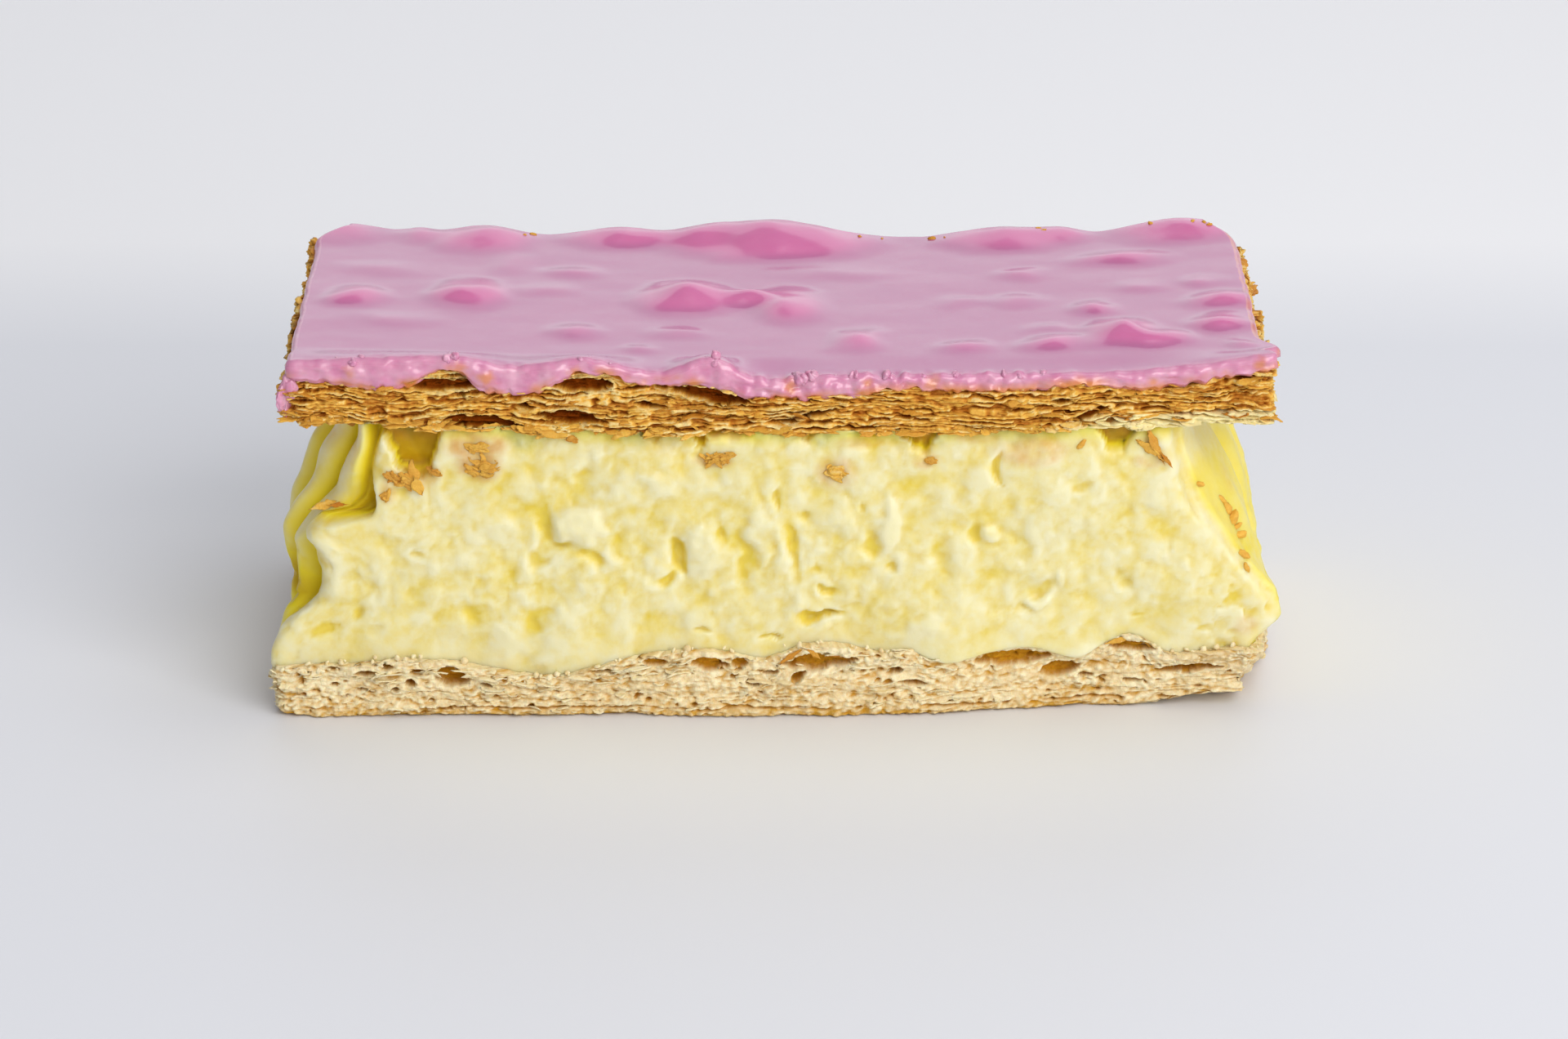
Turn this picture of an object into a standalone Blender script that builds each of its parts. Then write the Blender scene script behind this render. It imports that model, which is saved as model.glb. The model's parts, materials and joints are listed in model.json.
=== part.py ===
"""A slice of mille feuille: a pale pastry base, a thick block of piped custard cream,
a browned pastry lid that bows up at its ends, and a blistered sheet of fondant icing.

The slice stands on Z = 0 with its long side along X. Its front, at -Y, and its back are knife
cuts. The custard's two ends are uncut, and show the pleats that the piping nozzle left.
"""

import math
from collections import namedtuple

import bmesh
import bpy
import numpy as np
from mathutils import Vector, noise

MM = 0.001

# Driving dimensions.
SLICE_LENGTH = 118.5 * MM
SLICE_DEPTH = 55.0 * MM
HALF_LENGTH = SLICE_LENGTH / 2
HALF_DEPTH = SLICE_DEPTH / 2
GAP = 0.4 * MM

# Heights above the table in the middle of the slice, and how far the ends bow up from there.
BASE_THICKNESS = 4.9 * MM
CUSTARD_TOP = 35.6 * MM
LID_UNDERSIDE = 36.1 * MM
LID_TOP = 40.8 * MM
ICING_UNDERSIDE = LID_TOP + GAP
ICING_TOP = 43.6 * MM
LID_UNDERSIDE_BOW = 1.7 * MM
LID_TOP_BOW = 2.3 * MM
ICING_TOP_BOW = 1.5 * MM

# Where the pastry base puffed up into the custard: place along X, reach and height.
BASE_RISES = (
    (-39.0 * MM, 5.0 * MM, 1.4 * MM),
    (-12.5 * MM, 5.0 * MM, 1.7 * MM),
    (5.0 * MM, 4.4 * MM, 3.1 * MM),
    (14.5 * MM, 4.6 * MM, 2.5 * MM),
    (30.5 * MM, 3.6 * MM, 1.0 * MM),
    (43.5 * MM, 5.0 * MM, 1.9 * MM),
)

# The edges of the piped ropes of custard, along X. There is a groove at all but the outer two.
ROPE_EDGES = tuple(
    x * MM for x in (-54.5, -43.5, -30.5, -15.5, -6.0, 3.8, 17.3, 29.0, 41.0, 53.5)
)
ROPE_GROOVES = ROPE_EDGES[1:-1]
GROOVE_DEPTH = 2.4 * MM
GROOVE_REACH = 4.6 * MM
CELLS_PER_ROPE = 4

# The custard's end walls, as (heights, distances from the middle): torn is at the front cut,
# where the knife dragged the custard down and outwards, and whole is everywhere behind it.
# A lobe of custard bulges from each wall just behind the tear.
End = namedtuple("End", "torn whole lobe seed")
LEFT_END = End(
    torn=((8, 12, 14, 18, 23, 26, 36), (61.6, 59.8, 57.0, 55.8, 55.0, 48.6, 47.4)),
    whole=((4, 10, 18, 25, 30, 36), (58.2, 59.2, 57.6, 55.8, 53.8, 50.6)),
    lobe=2.6 * MM,
    seed=1.7,
)
RIGHT_END = End(
    torn=((8, 10, 12.6, 17, 24, 27, 32, 36), (57.0, 58.2, 62.2, 57.6, 51.8, 49.8, 47.8, 47.0)),
    whole=((4, 10, 18, 25, 30, 36), (58.0, 58.8, 57.6, 56.0, 54.0, 50.8)),
    lobe=1.0 * MM,
    seed=5.2,
)
TEAR_DEPTH = 15.0 * MM
LOBE_BEHIND_CUT = 11.0 * MM
LOBE_HEIGHT = 23.0 * MM
LOBE_REACH = 8.0 * MM
PLEAT_PITCH = 8.6 * MM
PLEAT_DEPTH = 1.5 * MM
PLEAT_LEAN = 0.3
BACK_SHOULDER = 1.6 * MM

# The custard's cut faces, within the slice's depth. Over the right of the base, the front one
# follows it back.
CUT_SET_IN = 0.6 * MM
CUT_BELLY = 0.5 * MM
CUT_ROUGHNESS = 0.7 * MM
CUT_DRAWN_BACK = 2.2 * MM

# The cut edges of both pastry sheets: plies that stand out and plies that are set back.
PLY_OUT = 0.45 * MM
PLY_SET_BACK = -0.5 * MM
PLY_ROUGHNESS = 0.9 * MM
PLY_GRAIN = 9 * MM
CRUMB_GRAIN = 6 * MM

# The base stands out at its ends, and its front is cut back on the right, where the bottom
# of the corner has broken away.
BASE_END_REACH = 1.6 * MM
BASE_FRONT_REACH = 0.8 * MM
BASE_CUT_BACK = 4.3 * MM
BROKEN_CORNER = 7.0 * MM
UNDERSIDE_LIFT = 0.25 * MM

# Blisters that push the icing up: place in X and Y, reach in X and Y, and height.
BLISTERS = tuple(
    tuple(size * MM for size in blister)
    for blister in (
        (-51.6, 0.6, 4.2, 3.4, 0.7),
        (-37.5, 1.0, 5.0, 3.2, 1.3),
        (-11.3, 1.2, 5.6, 3.6, 2.2),
        (-0.5, -1.2, 4.8, 3.2, 1.5),
        (-2.3, 23.6, 9.5, 4.6, 2.9),
        (-20.0, 24.2, 5.6, 3.6, 1.4),
        (-36.5, 24.0, 5.2, 3.6, 1.3),
        (-55.0, 24.5, 4.5, 4.0, 0.9),
        (28.4, 24.0, 6.5, 3.8, 1.5),
        (51.5, 24.5, 6.8, 4.2, 1.9),
        (43.0, 15.5, 6.5, 2.6, 0.9),
        (14.6, -14.2, 5.2, 2.8, 1.0),
        (42.2, -10.8, 5.6, 3.6, 2.0),
        (33.0, -16.2, 4.6, 2.6, 0.8),
        (53.5, 0.4, 5.0, 3.0, 1.1),
        (54.0, -7.8, 5.0, 2.8, 1.1),
        (39.0, -2.2, 4.2, 2.6, 0.9),
        (28.5, 0.4, 4.6, 2.6, 0.5),
        (22.0, -12.5, 4.0, 2.4, 0.5),
        (-29.0, -5.4, 4.2, 2.6, 0.5),
        (-24.5, 11.0, 4.2, 2.6, 0.5),
        (46.5, 5.6, 6.0, 2.6, 0.6),
        (-15.5, -20.5, 7.0, 3.4, 1.0),
        (-38.0, -22.0, 9.0, 3.6, 0.7),
    )
)
ICING_INSET = 0.7 * MM
ICING_ROUNDING = 1.5 * MM
ICING_ROUGHNESS = 0.7 * MM
ICING_CORNER_LIFT = 1.6 * MM
ICING_TONGUE = 1.8 * MM

PALE_CRUST = (0.78, 0.60, 0.34, 1.0)
BROWN_CRUST = (0.58, 0.31, 0.08, 1.0)
CUSTARD_YELLOW = (0.88, 0.78, 0.36, 1.0)
FONDANT_PINK = (0.66, 0.20, 0.40, 1.0)


def eased(value, start, end):
    """0 at start, 1 at end, with a smooth turn at both."""
    share = min(max((value - start) / (end - start), 0.0), 1.0)
    return share * share * (3 - 2 * share)


def wander(x, y, grain, seed):
    """A smooth uneven number, from about -0.6 to 0.6, that changes over a length of grain."""
    return noise.noise(Vector((x / grain, y / grain, seed)))


def bow(x):
    return (x / HALF_LENGTH) ** 2


def base_top(x):
    rises = sum(
        height * math.exp(-(((x - place) / reach) ** 2)) for place, reach, height in BASE_RISES
    )
    return BASE_THICKNESS + rises


def custard_crest(x):
    """Top of the piped ropes: round between two grooves, and sharp at each."""
    groove = min(ROPE_GROOVES, key=lambda place: abs(place - x))
    nearness = max(0.0, 1 - abs(x - groove) / GROOVE_REACH)
    return CUSTARD_TOP + LID_UNDERSIDE_BOW * bow(x) - GROOVE_DEPTH * nearness**2


def rope_stations():
    """Places along X for the cells of base and custard: the same number in every rope."""
    stations = [-HALF_LENGTH, ROPE_EDGES[0]]
    for low, high in zip(ROPE_EDGES[:-1], ROPE_EDGES[1:]):
        steps = range(1, CELLS_PER_ROPE + 1)
        stations += [low + (high - low) * step / CELLS_PER_ROPE for step in steps]
    return [*stations, HALF_LENGTH]


def even_stations(half, cells):
    return [half * (2 * i / cells - 1) for i in range(cells + 1)]


def wall(profile, z):
    heights, distances = profile
    return MM * float(np.interp(z / MM, heights, distances))


def pleat(y, z, seed):
    """How far a piped pleat stands out of an end wall: round lobes with sharp creases."""
    leaning = y + PLEAT_LEAN * (z - CUSTARD_TOP / 2)
    turn = leaning / PLEAT_PITCH + 0.25 * wander(y, z, 20 * MM, seed)
    return PLEAT_DEPTH * (abs(math.cos(math.pi * turn)) ** 0.7 - 0.7)


def custard_end(y, z, end):
    """Distance of a custard end wall from the middle of the slice."""
    behind_cut = y + HALF_DEPTH
    share = eased(behind_cut, 0, TEAR_DEPTH)
    smooth = wall(end.torn, z) * (1 - share) + wall(end.whole, z) * share
    off_lobe = math.hypot(behind_cut - LOBE_BEHIND_CUT, z - LOBE_HEIGHT) / LOBE_REACH
    bulge = end.lobe * math.exp(-(off_lobe**2))
    shoulder = BACK_SHOULDER * eased(y, HALF_DEPTH - 6 * MM, HALF_DEPTH)
    return smooth + bulge - shoulder + share * pleat(y, z, end.seed)


def material(name, colour, roughness):
    made = bpy.data.materials.new(name)
    made.use_nodes = True
    shader = made.node_tree.nodes["Principled BSDF"]
    shader.inputs["Base Color"].default_value = colour
    shader.inputs["Roughness"].default_value = roughness
    shader.inputs["Metallic"].default_value = 0.0
    return made


def block(name, x_stations, y_stations, rows, place, finish):
    """A closed block of cells. place gets each corner's x and y station, the sides that it is
    on (-1, 0 or 1 along X and along Y) and its height from 0 to 1, and returns its place."""
    columns, files = len(x_stations) - 1, len(y_stations) - 1
    mesh = bmesh.new()
    bmesh.ops.create_grid(mesh, x_segments=columns, y_segments=files, size=0.5)
    layer = list(mesh.faces)
    for row in range(rows):
        grown = bmesh.ops.extrude_face_region(mesh, geom=layer)["geom"]
        if row > 0:
            bmesh.ops.delete(mesh, geom=layer, context="FACES")
        layer = [item for item in grown if isinstance(item, bmesh.types.BMFace)]
        top = {corner for face in layer for corner in face.verts}
        bmesh.ops.translate(mesh, verts=list(top), vec=(0, 0, 1 / rows))
    for corner in mesh.verts:
        i = round((corner.co.x + 0.5) * columns)
        j = round((corner.co.y + 0.5) * files)
        k = round(corner.co.z * rows)
        side = (-1 if i == 0 else int(i == columns), -1 if j == 0 else int(j == files))
        corner.co = place(x_stations[i], y_stations[j], side, k / rows)
    bmesh.ops.recalc_face_normals(mesh, faces=mesh.faces)
    bmesh.ops.dissolve_limit(
        mesh, angle_limit=math.radians(0.2), verts=mesh.verts, edges=mesh.edges
    )
    data = bpy.data.meshes.new(name)
    mesh.to_mesh(data)
    mesh.free()
    made = bpy.data.objects.new(name, data)
    bpy.context.scene.collection.objects.link(made)
    data.materials.append(finish)
    return made


def flake_reach(x, y, row, seed):
    """How far a ply stands out at the cut edge: rows of flakes with grooves between them."""
    ply = PLY_OUT if row % 2 else PLY_SET_BACK
    crumbs = PLY_ROUGHNESS * wander(x, y, CRUMB_GRAIN, seed - row)
    return ply * (1 + wander(x, y, PLY_GRAIN, seed + row)) + crumbs


def base_front_shift(x, y):
    """Forwards at the front left, backwards at the front right, and nothing at the back."""
    front = BASE_CUT_BACK * eased(x, 8 * MM, 48 * MM) - BASE_FRONT_REACH
    return front * eased(-y, -HALF_DEPTH, HALF_DEPTH)


def base_chip(x, y, height):
    """How far the broken front right corner is set back: most at the bottom."""
    corner = eased(x, HALF_LENGTH / 2, HALF_LENGTH) * eased(-y, 8 * MM, HALF_DEPTH)
    return BROKEN_CORNER * corner * (1 - 0.8 * height)


def pastry_base():
    rows = 6

    def place(x, y, side, height):
        x -= base_chip(x, y, height)
        y += base_front_shift(x, y)
        z = height * base_top(x)
        if side == (0, 0):
            return x, y, z
        reach = flake_reach(x, y, round(height * rows), 3.1)
        if height == 0:
            z = UNDERSIDE_LIFT * (1 + 1.5 * wander(x, y, 12 * MM, 9.3))
        return x + side[0] * (reach + BASE_END_REACH), y + side[1] * reach, z

    return block(
        "pastry_base",
        rope_stations(),
        even_stations(HALF_DEPTH, 18),
        rows,
        place,
        material("pale_crust", PALE_CRUST, 0.75),
    )


def custard():
    rows = 10
    closest_cells = 1.1 * MM
    stations = rope_stations()

    def level(x, height):
        low = base_top(x) + GAP
        return low + (custard_crest(x) - low) * height

    def place(x, y, side, height):
        column = stations.index(x)
        z = level(x, height)
        left, right = -custard_end(y, z, LEFT_END), custard_end(y, z, RIGHT_END)
        if side[0] < 0:
            x = left
        elif side[0] > 0:
            x = right
        else:
            from_right = len(stations) - 1 - column
            x = min(max(x, left + closest_cells * column), right - closest_cells * from_right)
        set_in = CUT_SET_IN - CUT_BELLY * math.sin(math.pi * height)
        set_in -= CUT_ROUGHNESS * wander(x, z, 8 * MM, 2.6)
        drawn_back = CUT_DRAWN_BACK * eased(x, 20 * MM, 50 * MM) * (1 - height)
        y += drawn_back * eased(-y, HALF_DEPTH / 2, HALF_DEPTH) - side[1] * set_in
        return x, y, level(x, height)

    return block(
        "custard",
        stations,
        even_stations(HALF_DEPTH, 24),
        rows,
        place,
        material("custard_yellow", CUSTARD_YELLOW, 0.5),
    )


def pastry_lid():
    rows = 7

    def place(x, y, side, height):
        low = LID_UNDERSIDE + LID_UNDERSIDE_BOW * bow(x)
        high = LID_TOP + LID_TOP_BOW * bow(x)
        z = low + (high - low) * height
        if side == (0, 0):
            return x, y, z
        reach = flake_reach(x, y, round(height * rows), 6.4)
        if height in (0, 1):
            reach = PLY_OUT * wander(x, y, 7 * MM, 4.8)
        return x + side[0] * reach, y + side[1] * reach, z

    return block(
        "pastry_lid",
        even_stations(HALF_LENGTH, 40),
        even_stations(HALF_DEPTH, 18),
        rows,
        place,
        material("brown_crust", BROWN_CRUST, 0.65),
    )


def icing_surface(x, y):
    lifted_corner = (
        ICING_CORNER_LIFT * eased(x, 46 * MM, HALF_LENGTH) * eased(-y, 17 * MM, HALF_DEPTH)
    )
    blisters = sum(
        height * math.exp(-(((x - at_x) / reach_x) ** 2) - ((y - at_y) / reach_y) ** 2)
        for at_x, at_y, reach_x, reach_y, height in BLISTERS
    )
    return ICING_TOP + ICING_TOP_BOW * bow(x) + blisters + lifted_corner


def icing():
    rows = 3

    def place(x, y, side, height):
        low = ICING_UNDERSIDE + LID_TOP_BOW * bow(x)
        z = low + (icing_surface(x, y) - low) * height
        if side == (0, 0):
            return x, y, z
        rolled = ICING_ROUNDING * eased(height, 0.2, 1.2)
        reach = ICING_ROUGHNESS * wander(x, y, 8 * MM, 7.7) - rolled
        tongue = ICING_TONGUE * (side == (1, -1)) * height
        return x + side[0] * (reach + tongue), y + side[1] * reach, z - rolled

    return block(
        "icing",
        even_stations(HALF_LENGTH - ICING_INSET, 44),
        even_stations(HALF_DEPTH, 20),
        rows,
        place,
        material("fondant_pink", FONDANT_PINK, 0.25),
    )


def centre(layers):
    """Moves the layers together, so that the middle of their box stands on the origin."""
    corners = [corner.co for layer in layers for corner in layer.data.vertices]
    middle_x = (min(c.x for c in corners) + max(c.x for c in corners)) / 2
    middle_y = (min(c.y for c in corners) + max(c.y for c in corners)) / 2
    for layer in layers:
        layer.location = (-middle_x, -middle_y, 0)


def main():
    for old in list(bpy.data.objects):
        bpy.data.objects.remove(old)
    centre([pastry_base(), custard(), pastry_lid(), icing()])


main()
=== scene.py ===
"""The looks of a slice of mille feuille: fine surfaces for its two sheets of puff pastry, its
custard and its icing, with the flakes and crumbs that cling to them, on a plain table.

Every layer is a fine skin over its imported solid. Rays find the solid's outline and heights, and
plies, pores, folds, blisters and noise then push the skin in and out.
"""

import json
import math
from itertools import product

import bmesh
import bpy
import numpy as np
from bpy.props import FloatProperty, FloatVectorProperty, IntProperty, PointerProperty
from mathutils import Euler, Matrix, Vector
from mathutils.bvhtree import BVHTree

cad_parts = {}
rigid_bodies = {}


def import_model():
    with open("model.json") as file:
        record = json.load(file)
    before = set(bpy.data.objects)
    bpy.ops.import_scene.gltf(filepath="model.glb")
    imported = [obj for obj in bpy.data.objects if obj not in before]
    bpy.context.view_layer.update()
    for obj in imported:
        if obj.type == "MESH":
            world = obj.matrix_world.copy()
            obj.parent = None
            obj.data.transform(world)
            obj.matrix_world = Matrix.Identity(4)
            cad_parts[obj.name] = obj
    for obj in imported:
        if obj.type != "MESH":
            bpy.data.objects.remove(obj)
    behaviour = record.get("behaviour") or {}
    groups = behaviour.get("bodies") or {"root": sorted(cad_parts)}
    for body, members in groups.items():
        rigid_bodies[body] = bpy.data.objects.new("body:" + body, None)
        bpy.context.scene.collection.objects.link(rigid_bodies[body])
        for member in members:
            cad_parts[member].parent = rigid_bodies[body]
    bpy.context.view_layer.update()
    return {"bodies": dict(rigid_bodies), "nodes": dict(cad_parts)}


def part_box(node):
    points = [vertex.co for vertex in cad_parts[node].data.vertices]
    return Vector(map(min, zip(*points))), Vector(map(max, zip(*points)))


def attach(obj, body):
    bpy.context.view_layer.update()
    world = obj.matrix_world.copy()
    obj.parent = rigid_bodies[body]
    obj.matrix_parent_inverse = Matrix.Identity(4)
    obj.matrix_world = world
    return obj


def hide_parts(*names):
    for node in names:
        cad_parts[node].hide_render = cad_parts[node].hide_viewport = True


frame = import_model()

bl_info = {
    "name": "Mille Feuille Slice",
    "version": (1, 0, 0),
    "blender": (4, 5, 0),
    "location": "View3D > Sidebar > Pastry",
    "description": "Dresses the solids of a mille feuille slice as real pastry",
    "category": "Object",
}

MM = 0.001

# Half sizes of the slice between its cuts.
HALF_X = 59.25 * MM
HALF_Y = 27.5 * MM

# Height of the icing's flat top in the middle, and how much higher it is at the ends.
TOP_LEVEL = 43.6 * MM
TOP_BOW = 1.5 * MM

# Loose bits stay in this box, which is a little smaller than the solids'.
LOOSE_BOX = (
    np.array((-61.8, -28.9, 0.0)) * MM,
    np.array((61.8, 28.9, 46.5)) * MM,
)


# Numbers ------------------------------------------------------------------------------------


def eased(value, start, end):
    """0 at start, 1 at end, with a smooth turn at both."""
    share = np.clip((value - start) / (end - start), 0.0, 1.0)
    return share * share * (3 - 2 * share)


def bell(value, place, reach):
    """1 at a place, and less the further a value is from it."""
    return np.exp(-(((value - place) / reach) ** 2))


def on_plan(x, y):
    """Points on the table, for noise that doesn't change with height."""
    return np.stack([x, y, 0 * x], axis=-1)


def near_front(y):
    """1 at the front cut, 0 from a few millimetres behind it."""
    return eased(-y, 19 * MM, 24 * MM)


def front_face(y):
    """1 in the front cut itself, 0 behind it."""
    return eased(-y, 22 * MM, 25 * MM)


def lattice(cell, seed):
    """A repeatable number from 0 to 1 for each whole-number cell."""
    mask = 0xFFFFFFFF
    mixed = (cell[..., 0] * 374761393 + cell[..., 1] * 668265263) & mask
    mixed = (mixed + cell[..., 2] * 2246822519 + seed * 3266489917) & mask
    mixed = ((mixed ^ (mixed >> 15)) * 1103515245) & mask
    mixed = ((mixed ^ (mixed >> 13)) * 1597334677) & mask
    return (mixed ^ (mixed >> 16)) / mask


def noise(points, grain, seed):
    """Smooth noise from -1 to 1 that changes over a length of grain, which may differ by axis.
    Each use has a seed of its own, so that no two patterns are alike."""
    scaled = points / np.asarray(grain) + 11.7 * seed
    cell = np.floor(scaled).astype(np.int64)
    part = scaled - cell
    part = part * part * part * (part * (6 * part - 15) + 10)
    total = np.zeros(points.shape[:-1])
    for corner in product((0, 1), repeat=3):
        share = np.prod(np.where(corner, part, 1 - part), axis=-1)
        total += share * lattice(cell + corner, seed)
    return 2 * total - 1


def rough(points, grain, seed, octaves=3):
    """Noise with finer and finer noise on it, from about -1 to 1."""
    grain = np.asarray(grain)
    layers = [noise(points, grain / 2**i, seed + i) / 2**i for i in range(octaves)]
    return sum(layers) / (2 - 2.0 ** (1 - octaves))


def seed_distance(points, grain, seed):
    """Distance to the nearest of seeds strewn one to a cell, in cells."""
    scaled = points / np.asarray(grain)
    cell = np.floor(scaled).astype(np.int64)
    best = np.full(points.shape[:-1], 9.0)
    for step in product((-1, 0, 1), repeat=3):
        there = cell + step
        spot = there + np.stack([lattice(there, seed + axis) for axis in range(3)], axis=-1)
        best = np.minimum(best, np.linalg.norm(spot - scaled, axis=-1))
    return best


def softened(grid, *reaches, closes=True):
    """The grid blurred over its rows, and over its columns, which close into a ring or don't."""
    for axis, reach in enumerate(reaches):
        size = math.ceil(2.5 * reach)
        if size < 1:
            continue
        weights = np.exp(-0.5 * (np.arange(-size, size + 1) / reach) ** 2)
        width = [(0, 0), (0, 0)]
        width[axis] = (size, size)
        padded = np.pad(grid, width, mode="wrap" if closes and axis == 1 else "edge")
        length = grid.shape[axis]
        grid = sum(
            weight * np.take(padded, range(i, i + length), axis=axis)
            for i, weight in enumerate(weights / weights.sum())
        )
    return grid


def smooth_line(points):
    """A function of X that runs smoothly through (x, z) points given in millimetres."""
    places, heights = np.array(points).T * MM
    slopes = np.gradient(heights, places)

    def line(x):
        i = np.clip(np.searchsorted(places, x) - 1, 0, len(places) - 2)
        gap = places[i + 1] - places[i]
        share = np.clip((x - places[i]) / gap, 0, 1)
        turn = share * share * (3 - 2 * share)
        bend = share * (1 - share) * gap
        rise = slopes[i] * (1 - share) - slopes[i + 1] * share
        return heights[i] * (1 - turn) + heights[i + 1] * turn + bend * rise

    return line


# Solids and meshes --------------------------------------------------------------------------


class Solid:
    """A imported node's surface, for rays. The margins keep its top and underside off its ends."""

    def __init__(self, node, low_margin=4 * MM, high_margin=4 * MM):
        mesh = frame["nodes"][node].data
        corners = [corner.co for corner in mesh.vertices]
        self.tree = BVHTree.FromPolygons(corners, [face.vertices for face in mesh.polygons])
        self.low, self.high = (np.array(corner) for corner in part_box(node))
        self.underside = self.profile(False, low_margin)
        self.top = self.profile(True, high_margin)

    def reach(self, starts, ways):
        """Distance from each start to where its ray meets the surface, along its last axis.
        A ray that slips through takes its neighbours' distance."""
        shape = starts.shape[:-1]
        rays = zip(starts.reshape(-1, 3), ways.reshape(-1, 3))
        hits = [self.tree.ray_cast(Vector(start), Vector(way))[3] for start, way in rays]
        found = np.array([np.nan if hit is None else hit for hit in hits]).reshape(shape)
        for row in found.reshape(-1, shape[-1]):
            missing = np.isnan(row)
            if missing.any():
                places = np.arange(row.size)
                row[missing] = np.interp(places[missing], places[~missing], row[~missing])
        return found

    def level(self, x, y, top):
        """Height of the top or of the underside at places in plan."""
        x, y = np.broadcast_arrays(x, y)
        start = self.high[2] + MM if top else self.low[2] - MM
        way = -1.0 if top else 1.0
        starts = np.stack([x, y, np.full(x.shape, start)], axis=-1)
        ways = np.broadcast_to((0.0, 0.0, way), starts.shape)
        return start + way * self.reach(starts, ways)

    def profile(self, top, margin):
        """A function of X for the height of the top or underside along the slice's middle."""
        x = np.linspace(self.low[0] + margin, self.high[0] - margin, 400)
        heights = self.level(x, np.zeros(x.size), top)
        return lambda places: np.interp(places, x, heights)


def rim_rays(corner, front_step, step):
    """Starts and outward directions of rays round the slice, from inside it. They meet its
    outline at even steps, from the left end of the front, to the right and round."""
    starts, ways = [], []
    for side in range(4):
        outward = 1j ** (side - 1)
        along = outward * 1j
        reach, half = (HALF_Y, HALF_X) if side % 2 == 0 else (HALF_X, HALF_Y)
        flat = half - corner
        count = round(2 * flat / (front_step if side == 0 else step))
        flats = np.linspace(-flat, flat, count, endpoint=False)
        starts.append(outward * (reach - corner) + along * flats)
        ways.append(np.full(count, outward))
        count = round(corner / (front_step if side in (0, 3) else step))
        turn = np.linspace(0, 1, count, endpoint=False)
        starts.append(np.full(2 * count, outward * (reach - corner) + along * flat))
        ways.append(np.concatenate([outward + along * turn, outward * (1 - turn) + along]))
    starts, ways = np.concatenate(starts), np.concatenate(ways)
    ways = ways / np.abs(ways)
    flat_zero = np.zeros(starts.size)
    return (
        np.stack([starts.real, starts.imag, flat_zero], axis=-1),
        np.stack([ways.real, ways.imag, flat_zero], axis=-1),
    )


def ring_faces(rings, count, first=0):
    """Quads between closed rings of count corners each, listed from the bottom up."""
    here = first + np.arange(count)
    after = np.roll(here, -1)
    quads = [
        np.stack([here, after, after + count, here + count], axis=-1) + ring * count
        for ring in range(rings - 1)
    ]
    return np.concatenate(quads)


def grid_quads(columns, files):
    """Quads of a grid of corners, listed file by file."""
    corner = np.arange(columns)[None, :] + (columns + 1) * np.arange(files)[:, None]
    quads = np.stack([corner, corner + 1, corner + columns + 2, corner + columns + 1], axis=-1)
    return quads.reshape(-1, 4)


def grid_rim(columns, files):
    """Column and file of each corner along a grid's rim, once round from the front left."""
    front = [(i, 0) for i in range(columns)]
    right = [(columns, j) for j in range(files)]
    back = [(i, files) for i in range(columns, 0, -1)]
    left = [(0, j) for j in range(files, 0, -1)]
    return np.array(front + right + back + left)


def caps(edge, level):
    """Rings that close a skin over one end, each a share of its edge ring. The first keeps the
    edge's heights, and the others lie on the level."""
    for shrink in (0.993, 0.975, 0.94, 0.8, 0.45):
        ring = edge * (shrink, shrink, 1.0)
        if shrink < 0.99:
            ring[:, 2] = level(ring[:, 0], ring[:, 1])
        yield ring


def skin_faces(ring_count, count):
    """Faces of a closed skin of rings, with a fan to a last and a next to last corner."""
    quads = ring_faces(ring_count, count).tolist()
    here = np.arange(count)
    after = np.roll(here, -1)
    last_ring = (ring_count - 1) * count
    pole = ring_count * count
    low_fan = [(b, a, pole) for a, b in zip(here, after)]
    high_fan = [(last_ring + a, last_ring + b, pole + 1) for a, b in zip(here, after)]
    return quads + low_fan + high_fan


def mesh_piece(name, points, faces, finish, slot, node=None, **values):
    """A smooth piece of the slice, with values stored at its corners for its material."""
    mesh = bpy.data.meshes.new(name)
    mesh.from_pydata(np.asarray(points).tolist(), [], faces)
    mesh.shade_smooth()
    for key, numbers in values.items():
        layer = mesh.attributes.new(key, "FLOAT", "POINT")
        layer.data.foreach_set("value", np.asarray(numbers, np.float32))
    mesh.materials.append(finish)
    piece = bpy.data.objects.new(name, mesh)
    bpy.context.scene.collection.objects.link(piece)
    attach(piece, "root")
    if node:
        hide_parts(node)
    return piece


def skin(wall, low_level, high_level, values):
    """Points, faces and corner values of a closed skin: a wall of rings, and a cap at each end."""
    low = list(caps(wall[0], low_level))[::-1]
    high = list(caps(wall[-1], high_level))
    rings = [*low, *wall, *high]
    poles = [ring.mean(axis=0) for ring in (rings[0], rings[-1])]
    points = np.concatenate([*rings, np.array(poles)])
    spread = {}
    for key, numbers in values.items():
        capped = [numbers[0]] * len(low) + list(numbers) + [numbers[-1]] * len(high)
        spread[key] = np.concatenate([*capped, numbers[0][:1], numbers[-1][:1]])
    return points, skin_faces(len(rings), wall.shape[1]), spread


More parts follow.
